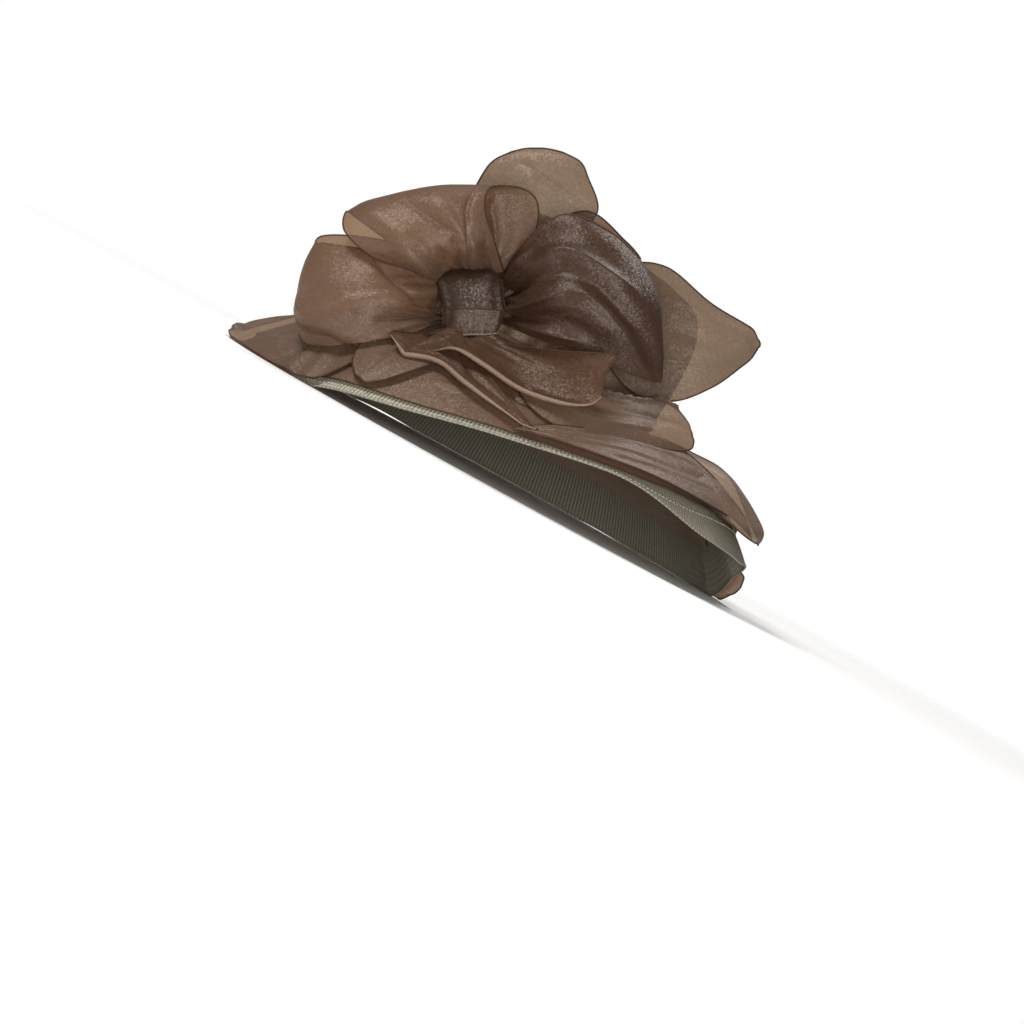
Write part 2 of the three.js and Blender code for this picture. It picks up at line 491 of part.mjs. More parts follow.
bow.add(
  piece('bow_knot', knotGeometry(), 0x5c4738),
  bowPetal('bow_loop_top', KNOT_TOP, TOP_LOOP, 0x7e6656, { grid: LOOP_GRID }),
  bowPetal('bow_loop_left', KNOT_LEFT, LEFT_LOOP, 0x735b4e, { grid: LOOP_GRID, beneath: 3 }),
  bowPetal('bow_loop_right', KNOT_RIGHT, RIGHT_LOOP, 0x77604f, { grid: LOOP_GRID }),
  bowPetal('bow_leaf_upper', KNOT_TOP, UPPER_LEAF, 0x8c7663),
  bowPetal('bow_leaf_side', KNOT_MIDDLE, SIDE_LEAF, 0x8c7663),
  bowPetal('bow_tail_right', KNOT_BOTTOM, RIGHT_TAIL, 0x9a8068, { beneath: 1 }),
  bowPetal('bow_tail_left', KNOT_BOTTOM, LEFT_TAIL, 0xa08974, { beneath: 2 }),
);

// The whole hat, moved so that its origin is the middle of its box, on the table
const hat = new THREE.Group();
hat.add(
  crown,
  brim,
  edgeBand,
  brimPetal('brim_petal_left', LEFT_PETAL, 0x846b5c),
  brimPetal('brim_petal_front', FRONT_PETAL, 0x7a6253, 1),
  brimPetal('brim_petal_standing', STANDING_PETAL, 0x836b5a),
  brimPetal('brim_petal_right', RIGHT_PETAL, 0x927b68),
  brimPetal('brim_petal_back', BACK_PETAL, 0x927b68),
  bow,
);
const box = new THREE.Box3().setFromObject(hat, true);
const middle = box.getCenter(new THREE.Vector3());
hat.position.set(-middle.x, -middle.y, -box.min.z);

export default hat;
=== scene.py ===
import math

import bmesh
import bpy
from mathutils import Matrix, Vector, noise


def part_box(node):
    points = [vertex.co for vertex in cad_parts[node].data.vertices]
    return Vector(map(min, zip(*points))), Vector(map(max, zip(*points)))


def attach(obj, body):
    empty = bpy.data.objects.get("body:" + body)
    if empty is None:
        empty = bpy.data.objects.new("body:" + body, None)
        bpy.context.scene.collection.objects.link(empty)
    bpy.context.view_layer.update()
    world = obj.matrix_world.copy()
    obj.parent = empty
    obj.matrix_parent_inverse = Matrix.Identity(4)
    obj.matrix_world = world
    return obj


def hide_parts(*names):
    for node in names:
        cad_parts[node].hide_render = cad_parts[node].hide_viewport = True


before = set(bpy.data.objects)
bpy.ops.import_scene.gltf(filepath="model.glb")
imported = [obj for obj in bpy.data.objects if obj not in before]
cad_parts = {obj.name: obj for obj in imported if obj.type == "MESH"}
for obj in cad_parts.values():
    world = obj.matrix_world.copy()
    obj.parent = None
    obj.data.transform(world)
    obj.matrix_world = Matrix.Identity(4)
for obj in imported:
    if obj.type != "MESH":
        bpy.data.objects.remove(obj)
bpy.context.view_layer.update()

# The camera stands on the bow's side, almost level with the hat, and looks through a long lens.
# It is rolled, so the hat leans in the picture as it does when it is worn on a tilted head.
MM = 0.001
CAMERA_LENS = 90.25
SENSOR_WIDTH = 36
CAMERA_DISTANCE = 1900
CAMERA_ELEVATION = math.radians(2)
CAMERA_ROLL = math.radians(28.7)
CAMERA_AIM = Vector((32, 0, -14))

crown_low, crown_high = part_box("crown")
camera_aim = (crown_low + crown_high) / 2
camera_aim.z = 0
camera_aim += CAMERA_AIM * MM
camera = bpy.data.objects.new("camera", bpy.data.cameras.new("camera"))
bpy.context.scene.collection.objects.link(camera)
bpy.context.scene.camera = camera
camera.data.lens = CAMERA_LENS
camera.data.sensor_width = SENSOR_WIDTH
camera.data.clip_start = 0.05
camera.data.clip_end = 50
camera.matrix_world = (
    Matrix.Translation(camera_aim)
    @ Matrix.Rotation(math.radians(90) - CAMERA_ELEVATION, 4, "X")
    @ Matrix.Rotation(CAMERA_ROLL, 4, "Z")
    @ Matrix.Translation((0, 0, CAMERA_DISTANCE * MM))
)

# A plain white studio: an even white surround that the camera sees bright, three soft lights
# and a small low one for the arch, and a floor of white paper, which fades into the surround
# before its far edge could show.
SURROUND_SEEN = 1.0
SURROUND_LIGHT = 0.2
FLOOR_COLOR = "#f4f3f1"
FLOOR_FADE_START = 0.35
FLOOR_FADE_END = 1.0
FLOOR_HALF = 3.0
LIGHTS_AIM = Vector((0, 0, 0.1))
LIGHTS = [
    # name, place in metres, size in metres, watts
    ("key_light", (-1.3, -1.0, 1.6), 0.7, 42),
    ("fill_light", (1.6, -1.4, 0.7), 1.4, 3),
    ("top_light", (0.3, 0.8, 1.9), 1.0, 20),
    ("arch_light", (0.15, -1.0, 0.04), 0.3, 7.5),
]


def linear(code):
    """A hex colour as the eye sees it, as the linear red, green, blue and alpha that a shader takes."""
    parts = [int(code[at : at + 2], 16) / 255 for at in (1, 3, 5)]
    return [p / 12.92 if p <= 0.04045 else ((p + 0.055) / 1.055) ** 2.4 for p in parts] + [1]


def add(tree, kind, inputs=(), settings=()):
    """Adds a shader node, sets its properties, and sets or links its inputs by name or number."""
    made = tree.nodes.new("ShaderNode" + kind)
    for name, value in dict(settings).items():
        setattr(made, name, value)
    for name, value in dict(inputs).items():
        if isinstance(value, bpy.types.NodeSocket):
            tree.links.new(value, made.inputs[name])
        else:
            made.inputs[name].default_value = value
    return made


def new_material(name):
    material = bpy.data.materials.new(name)
    material.use_nodes = True
    material.node_tree.nodes.clear()
    return material, material.node_tree


surround = bpy.data.worlds.new("studio")
bpy.context.scene.world = surround
surround.use_nodes = True
tree = surround.node_tree
tree.nodes.clear()
ray = add(tree, "LightPath")
seen = add(tree, "Background", {"Color": (1, 1, 1, 1), "Strength": SURROUND_SEEN})
shed = add(tree, "Background", {"Color": (1, 1, 1, 1), "Strength": SURROUND_LIGHT})
either = add(tree, "MixShader", {0: ray.outputs["Is Camera Ray"], 1: shed.outputs[0], 2: seen.outputs[0]})
add(tree, "OutputWorld", {"Surface": either.outputs[0]})

for name, place, size, watts in LIGHTS:
    light = bpy.data.objects.new(name, bpy.data.lights.new(name, "AREA"))
    bpy.context.scene.collection.objects.link(light)
    light.data.size = size
    light.data.energy = watts
    light.visible_camera = False
    light.location = place
    light.rotation_euler = (LIGHTS_AIM - Vector(place)).to_track_quat("-Z", "Y").to_euler()

# Studio paper is matt and even, so it takes soft shadows and has no gloss.
paper, tree = new_material("matt_white_paper")
where = add(tree, "TexCoord").outputs["Object"]
away = add(tree, "VectorMath", {0: where}, {"operation": "LENGTH"})
fade = add(
    tree,
    "MapRange",
    {"Value": away.outputs["Value"], "From Min": FLOOR_FADE_START, "From Max": FLOOR_FADE_END},
    {"interpolation_type": "SMOOTHSTEP"},
)
matt = add(tree, "BsdfDiffuse", {"Color": linear(FLOOR_COLOR)})
clear = add(tree, "BsdfTransparent")
both = add(tree, "MixShader", {0: fade.outputs[0], 1: matt.outputs[0], 2: clear.outputs[0]})
add(tree, "OutputMaterial", {"Surface": both.outputs[0]})

shape = bmesh.new()
bmesh.ops.create_grid(shape, x_segments=2, y_segments=2, size=FLOOR_HALF)
floor = bpy.data.objects.new("floor", bpy.data.meshes.new("floor"))
shape.to_mesh(floor.data)
shape.free()
floor.data.materials.append(paper)
bpy.context.scene.collection.objects.link(floor)
bpy.context.scene.view_settings.view_transform = "Standard"

# The edge band: a ribbed braid of grey-green crin, stitched under the brim's edge in rows, with
# a wire in its rim. It shows past the cloth most at the arch and at the right end.
HEAD_LENGTH = 196
HEAD_WIDTH = 170
HEAD_FRONT = 235
CROWN_HEIGHT = 112
CROWN_WALL = 1.6
FOOT_HEIGHT = 80
BRIM_REACH = 205
BRIM_ARCH = 55
BRIM_WALL = 2
BRIM_BELL = 2
BAND_WIDTH = 24
BAND_WALL = 1.4
BAND_DROP = 2.3
GAP = 0.3
RIB_PITCH = 3
RIB_HEIGHT = 0.35
RIB_STEPS = 4
BAND_ROWS = 14
BAND_THREADS = 8
WIRE_RADIUS = 0.8
RIM_GIRTH = 1250
RIBS = round(RIM_GIRTH / RIB_PITCH)
# At the right of the arch the band is turned down a little, so it shows its ribs: how far, and
# the angles over which the turn comes and goes.
BAND_DIP = 10
BAND_DIP_COMES = (292, 322)
BAND_DIP_GOES = (358, 338)

# Columns: angle, rise as a share of the arch, reach as a share of the brim's reach, show as the
# share of the band that the cloth leaves bare, bell as a share of BRIM_BELL
RIM_COLUMNS = ("at", "rise", "reach", "show", "bell")
RIM = [
    (0, 0.42, 0.975, 0.75, 1),
    (12, 0.13, 0.995, 0.65, 1),
    (22, -0.05, 1.01, 0.55, 1),
    (36, -0.05, 1.02, 0.5, 1),
    (60, 0.05, 1, 0.4, 1),
    (90, -0.05, 0.97, 0.4, 1),
    (120, 0.06, 0.97, 0.4, 1),
    (150, -0.05, 0.97, 0.4, 0.95),
    (180, 0.04, 1, 0.4, 0.8),
    (205, -0.05, 0.98, 0.3, 0.8),
    (220, -0.05, 0.955, 0.22, 0.85),
    (234, 0.16, 0.94, 0.17, 0.95),
    (250, 0.36, 0.93, 0.13, 1),
    (270, 0.64, 0.93, 0.12, 1),
    (300, 0.95, 0.95, 0.14, 1),
    (325, 0.92, 0.99, 0.62, 1),
    (345, 0.8, 1, 0.8, 1),
    (354, 0.6, 0.99, 0.8, 1),
]


def mix(low, high, share):
    return low + (high - low) * share


def smooth(low, high, value):
    """0 below low, 1 above high, and an even curve between them."""
    share = min(max((value - low) / (high - low), 0), 1)
    return share * share * (3 - 2 * share)


def read(rows, column, at):
    """Reads one column of a table at a place between its rows, along a smooth cubic."""
    low = 0
    while low < len(rows) - 2 and at > rows[low + 1][0]:
        low += 1

    def slope(index):
        before = rows[max(index - 1, 0)]
        after = rows[min(index + 1, len(rows) - 1)]
        return (after[column] - before[column]) / (after[0] - before[0])

    span = rows[low + 1][0] - rows[low][0]
    t = min(max((at - rows[low][0]) / span, 0), 1)
    start = rows[low][column]
    end = rows[low + 1][column]
    bend = slope(low) * span * t * (1 - t) ** 2 - slope(low + 1) * span * t * t * (1 - t)
    return mix(start, end, t * t * (3 - 2 * t)) + bend


RIM_RING = [(RIM[-1][0] - 360, *RIM[-1][1:]), *RIM]
RIM_RING += [(row[0] + 360, *row[1:]) for row in RIM[:2]]


def rim(column, angle):
    return read(RIM_RING, RIM_COLUMNS.index(column), angle % 360)


def polar(angle, radius, height):
    turn = math.radians(angle)
    return Vector((radius * math.cos(turn), radius * math.sin(turn), height))


def head_radius(angle):
    long = (HEAD_LENGTH + CROWN_WALL) / 2
    short = (HEAD_WIDTH + CROWN_WALL) / 2
    turn = math.radians(angle - HEAD_FRONT)
    return long * short / math.hypot(short * math.cos(turn), long * math.sin(turn))


FOOT_OUT = CROWN_WALL / 2 + GAP


def brim_length(angle):
    return BRIM_REACH * rim("reach", angle) - head_radius(angle) - FOOT_OUT


def brim_point(angle, share):
    """share runs from 0 at the crown's foot to 1 at the rim; past it the brim goes on level."""
    low = BRIM_ARCH * max(rim("rise", angle), 0)
    fall = (FOOT_HEIGHT - low) * min(max(share, 0), 1) ** (BRIM_BELL * rim("bell", angle))
    out = head_radius(angle) + FOOT_OUT + share * brim_length(angle)
    return polar(angle, out, FOOT_HEIGHT - fall)


def brim_normal(angle, share):
    step = 0.01
    out = brim_point(angle, share) - brim_point(angle, share - step)
    round_it = brim_point(angle + step, share) - brim_point(angle - step, share)
    return out.cross(round_it).normalized()


# The crown's pole gives the hat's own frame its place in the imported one.
crown_pole = max((vertex.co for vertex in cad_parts["crown"].data.vertices), key=lambda co: co.z)
HAT_PLACE = crown_pole.copy()
HAT_PLACE.z -= (FOOT_HEIGHT - BRIM_WALL / 2 + CROWN_HEIGHT + CROWN_WALL / 2) * MM


def object_from(name, shape, material):
    """Makes a piece of a bmesh in millimetres of the hat's frame. It rides on the hat's one body."""
    for vertex in shape.verts:
        vertex.co = vertex.co * MM + HAT_PLACE
    for face in shape.faces:
        face.smooth = True
    made = bpy.data.objects.new(name, bpy.data.meshes.new(name))
    shape.to_mesh(made.data)
    shape.free()
    made.data.materials.append(material)
    bpy.context.scene.collection.objects.link(made)
    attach(made, "root")
    return made


def cloth(name, surface, grid, size, material, relief=None, ring=False):
    """A sheet from a grid of rows by columns: surface(v, u) places a point, v along its length and
    u across it, and relief(v, u) lifts it off that. size is the cloth's width and length, to
    which its UVs run. Returns the piece, and the place of each point by its row and column."""
    rows, columns = grid
    shape = bmesh.new()
    layer = shape.loops.layers.uv.new("UVMap")
    bmesh.ops.create_grid(shape, x_segments=columns, y_segments=rows, size=0.5, calc_uvs=True)
    for face in shape.faces:
        for loop in face.loops:
            spot = loop[layer].uv
            loop[layer].uv = (spot.x * size[0] * MM, spot.y * size[1] * MM)
    shares = {vertex: (vertex.co.y + 0.5, vertex.co.x + 0.5) for vertex in shape.verts}
    for vertex, (v, u) in shares.items():
        vertex.co = surface(v, u)
    if relief:
        shape.normal_update()
        lifts = {vertex: vertex.normal * relief(*share) for vertex, share in shares.items()}
        for vertex, lift in lifts.items():
            vertex.co += lift
    spots = {(round(v * rows), round(u * columns)): vertex.co.copy() for vertex, (v, u) in shares.items()}
    if ring:
        bmesh.ops.remove_doubles(shape, verts=shape.verts, dist=0.01)
    return object_from(name, shape, material), spots


def cord(name, points, radius, material, closed=False, taper=0):
    """A round cord along a line of points, thinned towards its ends over a share of its length."""
    line = bpy.data.curves.new(name, "CURVE")
    line.dimensions = "3D"
    line.bevel_depth = radius * MM
    line.bevel_resolution = 1
    line.use_fill_caps = not closed
    spline = line.splines.new("POLY")
    spline.points.add(len(points) - 1)
    spline.use_cyclic_u = closed
    for number, (spot, point) in enumerate(zip(spline.points, points)):
        spot.co = (*(point * MM + HAT_PLACE), 1)
        end = min(number, len(points) - 1 - number) / len(points)
        spot.radius = mix(0.25, 1, smooth(0, taper, end)) if taper else 1
    curve = bpy.data.objects.new(name + "_line", line)
    made = bpy.data.objects.new(name, bpy.data.meshes.new_from_object(curve))
    bpy.data.objects.remove(curve)
    made.data.materials.append(material)
    made.data.shade_smooth()
    bpy.context.scene.collection.objects.link(made)
    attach(made, "root")
    return made


def bands(tree, where, pitch, direction):
    """Even threads or ribs across one direction of a cloth, pitch millimetres apart."""
    scale = math.pi / 10 / (pitch * MM)
    return add(
        tree,
        "TexWave",
        {"Vector": where, "Scale": scale, "Distortion": 0.0},
        {"wave_type": "BANDS", "bands_direction": direction, "wave_profile": "SIN"},
    ).outputs["Fac"]


def blotches(tree, where, size, detail=2):
    """Uneven patches, about size millimetres apart."""
    inputs = {"Vector": where, "Scale": 1 / (size * MM), "Detail": detail}
    return add(tree, "TexNoise", inputs).outputs["Fac"]


def between(tree, share, low, high):
    """A number or colour that runs from low to high with a share."""
    if isinstance(low, str):
        return add(
            tree,
            "Mix",
            {0: share, 6: linear(low), 7: linear(high)},
            {"data_type": "RGBA"},
        ).outputs[2]
    return add(tree, "MapRange", {"Value": share, "To Min": low, "To Max": high}).outputs[0]


# Horsehair braid is woven nylon, matt between its ribs and a little shiny on them, grey-green.
# Its colour is darker between the ribs and lighter on them: painted shade and painted highlight.
braid, tree = new_material("horsehair_braid")
where = add(tree, "UVMap").outputs[0]
ribs = bands(tree, where, RIB_PITCH, "X")
rows = bands(tree, where, BAND_WIDTH / BAND_THREADS, "Y")
grain = blotches(tree, add(tree, "TexCoord").outputs["Object"], 1.2)
# painted shade and painted highlight: the colour runs dark in the rib valleys and light on the rib tops
ribbed = between(tree, ribs, "#59554a", "#a5a190")
uneven = between(tree, grain, "#6d6450", "#aaa592")
color = add(tree, "Mix", {0: 0.35, 6: ribbed, 7: uneven}, {"data_type": "RGBA"}).outputs[2]
threads = add(tree, "Math", {0: ribs, 1: rows}, {"operation": "MULTIPLY"}).outputs[0]
lift = add(tree, "Bump", {"Height": threads, "Strength": 0.6, "Distance": 0.3 * MM}).outputs[0]
shader = add(
    tree,
    "BsdfPrincipled",
    {"Base Color": color, "Roughness": 0.5, "Specular IOR Level": 0.4, "Normal": lift},
)
add(tree, "OutputMaterial", {"Surface": shader.outputs[0]})

# Polyester thread and rolled organza hems: dark brown, softly shiny, twisted.
hem_thread, tree = new_material("rolled_organza_hem")
grain = blotches(tree, add(tree, "TexCoord").outputs["Object"], 1.5)
shader = add(
    tree,
    "BsdfPrincipled",
    {"Base Color": between(tree, grain, "#26180f", "#4a3322"), "Roughness": 0.6, "Specular IOR Level": 0.2},
)
add(tree, "OutputMaterial", {"Surface": shader.outputs[0]})


def band_start(angle):
    return 1 - BAND_WIDTH / brim_length(angle)


def cloth_end(angle):
    return 1 - BAND_WIDTH * rim("show", angle) / brim_length(angle)


def band_surface(v, u):
    angle = 360 * u
    share = mix(band_start(angle), 1, v)
    point = brim_point(angle, share) - brim_normal(angle, min(share, 1)) * BAND_DROP
    dip = BAND_DIP * smooth(*BAND_DIP_COMES, angle) * smooth(*BAND_DIP_GOES, angle)
    point.z = max(point.z - dip * v**1.6, BAND_WALL / 2)
    return point


def band_relief(v, u):
    return RIB_HEIGHT / 2 * math.cos(2 * math.pi * RIBS * u)


band, spots = cloth(
    "ribbed_edge_band",
    band_surface,
    (BAND_ROWS, RIBS * RIB_STEPS),
    (RIM_GIRTH, BAND_WIDTH),
    braid,
    band_relief,
    ring=True,
)
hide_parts("edge_band")
rim_points = [spots[(BAND_ROWS, RIB_STEPS * rib)] for rib in range(RIBS)]
rim_points = [Vector((p.x, p.y, max(p.z, WIRE_RADIUS))) for p in rim_points]
rim_wire = cord("rim_wire", rim_points, WIRE_RADIUS, braid, closed=True)

# The brim: organza over a stiff net, in one bell-shaped piece from the crown's foot to its own
# hem on the band. Its underside is a paler lining, joined by four seams along the radius; the
# lining's colour is painted lighter still, as painted light in the shade under the brim.
BRIM_GRID = (40, 360)
BRIM_SIZE = (1150, 120)
RIPPLE = 0.9
HEM_RADIUS = 0.6
# Real threads lie 0.15 mm apart, which no render shows, so they are drawn five times coarser.
THREAD_PITCH = 0.75
PATCH_SIZE = 30
GRAIN_SIZE = 1.6
SLUB_WIDTH = 0.9
SLUB_LENGTH = 22
SPARKLE_SIZE = 1.1
SPARKLE = 0.3


def organza(name, dark, pale, cover, clear, sheen):
    """Crystal organza is a thin stiff plain weave of twisted nylon. It lets a little light through,
    tinted by the thread, and sparkles finely where it turns to the light."""
    made, tree = new_material(name)
    place = add(tree, "TexCoord").outputs["Object"]
    where = add(tree, "UVMap").outputs[0]
    warp = bands(tree, where, THREAD_PITCH, "X")
    weft = bands(tree, where, THREAD_PITCH, "Y")
    weave = add(tree, "Math", {0: warp, 1: weft}, {"operation": "MULTIPLY"}).outputs[0]
    patches = blotches(tree, place, PATCH_SIZE, 3)
    grain = blotches(tree, place, GRAIN_SIZE)
    color = between(tree, patches, dark, pale)
    # Slubs: threads a little thicker for a few centimetres, so the cloth is faintly streaked.
    streak = (1 / SLUB_WIDTH, 1 / SLUB_LENGTH, 1)
    drawn = add(tree, "VectorMath", {0: where, 1: streak}, {"operation": "MULTIPLY"}).outputs[0]
    slubs = blotches(tree, drawn, 1, 1)
    worn = add(tree, "Mix", {0: slubs, 6: color, 7: linear(pale)}, {"data_type": "RGBA"}).outputs[2]
    relief = add(tree, "Math", {0: grain, 1: weave}, {"operation": "ADD"}).outputs[0]
    lift = add(tree, "Bump", {"Height": relief, "Strength": 0.25, "Distance": 0.25 * MM}).outputs[0]
    # Sparkle: the twisted threads face a little aside in every cell of about a millimetre.
    cells = add(tree, "TexVoronoi", {"Vector": place, "Scale": 1 / (SPARKLE_SIZE * MM)}).outputs["Color"]
    half = (0.5, 0.5, 0.5)
    aside = add(tree, "VectorMath", {0: cells, 1: half}, {"operation": "SUBTRACT"}).outputs[0]
    tilt = add(tree, "VectorMath", {0: aside, "Scale": SPARKLE}, {"operation": "SCALE"}).outputs[0]
    turned = add(tree, "VectorMath", {0: lift, 1: tilt}, {"operation": "ADD"}).outputs[0]
    facing = add(tree, "VectorMath", {0: turned}, {"operation": "NORMALIZE"}).outputs[0]
    shader = add(
        tree,
        "BsdfPrincipled",
        {
            "Base Color": worn,
            "Roughness": between(tree, grain, 0.33, 0.5),
            "Specular IOR Level": 0.5,
            "Specular Tint": linear("#ead9cc"),
            "Sheen Weight": sheen,
            "Sheen Roughness": 0.4,
            "Sheen Tint": linear("#c8ab98"),
            "Normal": facing,
        },
    )
    open_weave = add(tree, "BsdfTransparent", {"Color": linear(clear)})
    share = between(tree, grain, cover - 0.05, cover + 0.05)
    both = add(tree, "MixShader", {0: share, 1: open_weave.outputs[0], 2: shader.outputs[0]})
    add(tree, "OutputMaterial", {"Surface": both.outputs[0]})
    return made


brim_cloth = organza("brim_organza_on_net", "#4c3427", "#604c3e", 0.94, "#ffd9ad", 0.08)
# The lining's pale colour is partly its own and partly painted light, which lifts the shade inside the hat.
lining_cloth_painted_lighter = organza("pale_lining_organza_painted_lighter", "#8a7463", "#a08b79", 0.97, "#ffd9ad", 0.08)


def folds(lines, size, v, u):
    """Raised rolls and sharp creases along lines on the flat cloth: each is its height, its width,
    both in millimetres, and its points. A crease has a height below zero."""
    width, length = size
    spot = Vector((u * width, v * length))
    total = 0
    for height, reach, points in lines:
        line = [Vector((across * width, along * length)) for along, across in points]
        nearest = None
        for number in range(len(line) - 1):
            step = line[number + 1] - line[number]
            share = (spot - line[number]).dot(step) / step.length_squared
            held = min(max(share, 0), 1)
            away = (spot - line[number] - step * held).length
            if nearest is None or away < nearest:
                nearest = away
                done = (number + held) / (len(line) - 1)
        if nearest > 3.5 * reach:
            continue
        shape = math.exp(-nearest / reach) if height < 0 else math.exp(-((nearest / reach) ** 2))
        total += height * shape * smooth(1.15, 0.7, done)
    return total


def brim_middle(v, u):
    angle = 360 * u
    return brim_point(angle, v * cloth_end(angle))


BRIM_FOLDS = [
    # soft rolls and creases that run with the edge, over the arch and behind
    (-1.8, 2.5, [(0.52, 0.78), (0.46, 0.82), (0.4, 0.87)]),
    (1.8, 5, [(0.66, 0.75), (0.6, 0.79), (0.52, 0.84)]),
    (-1.5, 2.5, [(0.8, 0.7), (0.76, 0.74), (0.72, 0.78)]),
    (1.5, 6, [(0.6, 0.15), (0.66, 0.22), (0.6, 0.3)]),
    (-1.2, 3, [(0.4, 0.18), (0.45, 0.26), (0.4, 0.34)]),
    (1.4, 6, [(0.45, 0.36), (0.55, 0.41), (0.5, 0.46)]),
]


def brim_relief(v, u):
    turn = math.tau * u
    wave = noise.noise(Vector((7 * math.cos(turn), 7 * math.sin(turn), 2.2 * v)))
    fan = math.cos(turn * 31 + 5 * noise.noise(Vector((2 * math.cos(turn), 2 * math.sin(turn), v))))
    fanned = 0.55 * fan * smooth(0, 0.08, v) * smooth(0.75, 0.1, v)
    return RIPPLE * wave * smooth(0, 0.3, v) + fanned + folds(BRIM_FOLDS, BRIM_SIZE, v, u)


brim, spots = cloth("brim_organza", brim_middle, BRIM_GRID, BRIM_SIZE, brim_cloth, brim_relief, ring=True)
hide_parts("brim")
edge = [spots[(BRIM_GRID[0], at)] for at in range(BRIM_GRID[1])]
brim_hem = cord("brim_hem", edge, HEM_RADIUS, hem_thread, closed=True)

# A row of pale stitches holds the brim's hem down on the band. They are polyester thread, sewn
# by machine, smooth and a little shiny, so each one catches a spot of light.
STITCH_PITCH = 4
STITCH_LENGTH = 2.5
STITCH_RADIUS = 0.5
STITCH_INSET = 1.9

stitch_thread, tree = new_material("pale_polyester_thread")
grain = blotches(tree, add(tree, "TexCoord").outputs["Object"], 0.8)
shader = add(
    tree,
    "BsdfPrincipled",
    {"Base Color": between(tree, grain, "#75695c", "#c2b7a8"), "Roughness": 0.4, "Sheen Weight": 0.3},
)
add(tree, "OutputMaterial", {"Surface": shader.outputs[0]})
stitches = bmesh.new()
for number in range(round(RIM_GIRTH / STITCH_PITCH)):
    angle = 360 * STITCH_PITCH * number / RIM_GIRTH
    share = cloth_end(angle) + STITCH_INSET / brim_length(angle)
    normal = brim_normal(angle, min(share, 1))
    along = (brim_point(angle + 1, share) - brim_point(angle - 1, share)).normalized()
    over = (share - band_start(angle)) / (1 - band_start(angle))
    seat = band_surface(over, angle / 360) + normal * (RIB_HEIGHT + 0.1)
    lie = Matrix((along, normal.cross(along), normal)).transposed().to_4x4()
    size = Matrix.Diagonal((STITCH_LENGTH / 2, STITCH_RADIUS, STITCH_RADIUS, 1))
    place = Matrix.Translation(seat) @ lie @ size
    bmesh.ops.create_icosphere(stitches, subdivisions=1, radius=1, matrix=place)
edge_stitches = object_from("edge_stitches", stitches, stitch_thread)

# The brim's lining: organza laid under the brim from the crown's foot to a little way under the
# band, with its seams turned in and sewn through.
LINING_DROP = 1.2
LINING_UNDER_BAND = 1.02
LINING_GRID = (24, 240)
LINING_SEAMS = (14, 104, 194, 284)
SEAM_RADIUS = 0.55


def lining_middle(v, u):
    angle = 360 * u
    share = v * band_start(angle) * LINING_UNDER_BAND
    return brim_point(angle, share) - brim_normal(angle, share) * LINING_DROP


lining, spots = cloth("brim_lining", lining_middle, LINING_GRID, BRIM_SIZE, lining_cloth_painted_lighter, ring=True)
for number, angle in enumerate(LINING_SEAMS):
    line = [lining_middle(row / LINING_GRID[0], angle / 360) for row in range(2, LINING_GRID[0] + 1)]
    under = [point - brim_normal(angle, 0.5) * GAP for point in line]
    cord(f"lining_seam_{number + 1}", under, SEAM_RADIUS, hem_thread)

# The crown: a domed oval shell of organza, gathered into soft folds over a lining, and sewn to
# the brim at its foot under a folded band of the same cloth. Inside is a ribbon for the head.
CROWN_COLUMNS = ("at", "out", "up", "fold")
CROWN_ROWS = [
    (0, 1, 0, 0),
    (0.2, 1.03, 0.25, 0.3),
    (0.42, 1.045, 0.56, 0.6),
    (0.6, 0.985, 0.79, 1),
    (0.76, 0.82, 0.925, 1),
    (0.9, 0.45, 0.99, 0.5),
    (1, 0, 1, 0),
]
CROWN_FOLDS = 12
CROWN_FOLD_DEPTH = 2.4
CROWN_FOOT = FOOT_HEIGHT - BRIM_WALL / 2
CROWN_GRID = (60, 360)
PLEATS = 27
PLEAT_DEPTH = 1.5
SWAY_DEPTH = 1.6
CROWN_SIZE = (600, 160)

crown_cloth = organza("crown_organza_on_lining", "#563a2c", "#6a5545", 0.97, "#ffd9ad", 0.08)


def crown_row(column, at):
    return read(CROWN_ROWS, CROWN_COLUMNS.index(column), at)


def crown_point(v, u):
    angle = 360 * u
    fold = CROWN_FOLD_DEPTH * crown_row("fold", v) * (1 - math.cos(math.radians(angle * CROWN_FOLDS))) / 2
    radius = max(head_radius(angle) * crown_row("out", v) - fold, 0)
    return polar(angle, radius, CROWN_FOOT + CROWN_HEIGHT * crown_row("up", v))


def crown_relief(v, u):
    turn = math.tau * u
    sway = noise.noise(Vector((3 * math.cos(turn), 3 * math.sin(turn), 4 * v)))
    pleat = math.cos(turn * PLEATS + 3 * sway)
    gathered = PLEAT_DEPTH * pleat * smooth(1, 0.75, v) * mix(0.3, 1, smooth(0.55, 0.05, v))
    return gathered + SWAY_DEPTH * sway * smooth(0, 0.2, v) * smooth(1, 0.8, v)


def crown_reach(angle, height):
    """How far the crown's outer face may reach at a height, with the folds filled in."""
    up = (height - CROWN_FOOT) / CROWN_HEIGHT
    if up >= 1:
        return 0
    low, high = 0, 1
    for _ in range(24):
        middle = (low + high) / 2
        if crown_row("up", middle) < up:
            low = middle
        else:
            high = middle
    return head_radius(angle) * crown_row("out", low) + CROWN_WALL / 2


crown, spots = cloth(
    "crown_organza", crown_point, CROWN_GRID, CROWN_SIZE, crown_cloth, crown_relief, ring=True
)
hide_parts("crown")


# The crown's lining is a plain shell of the brim's lining cloth, a little smaller than the crown.
CROWN_LINING_SHARE = 0.965
CROWN_LINING_DROP = 2.2
CROWN_LINING_GRID = (24, 120)


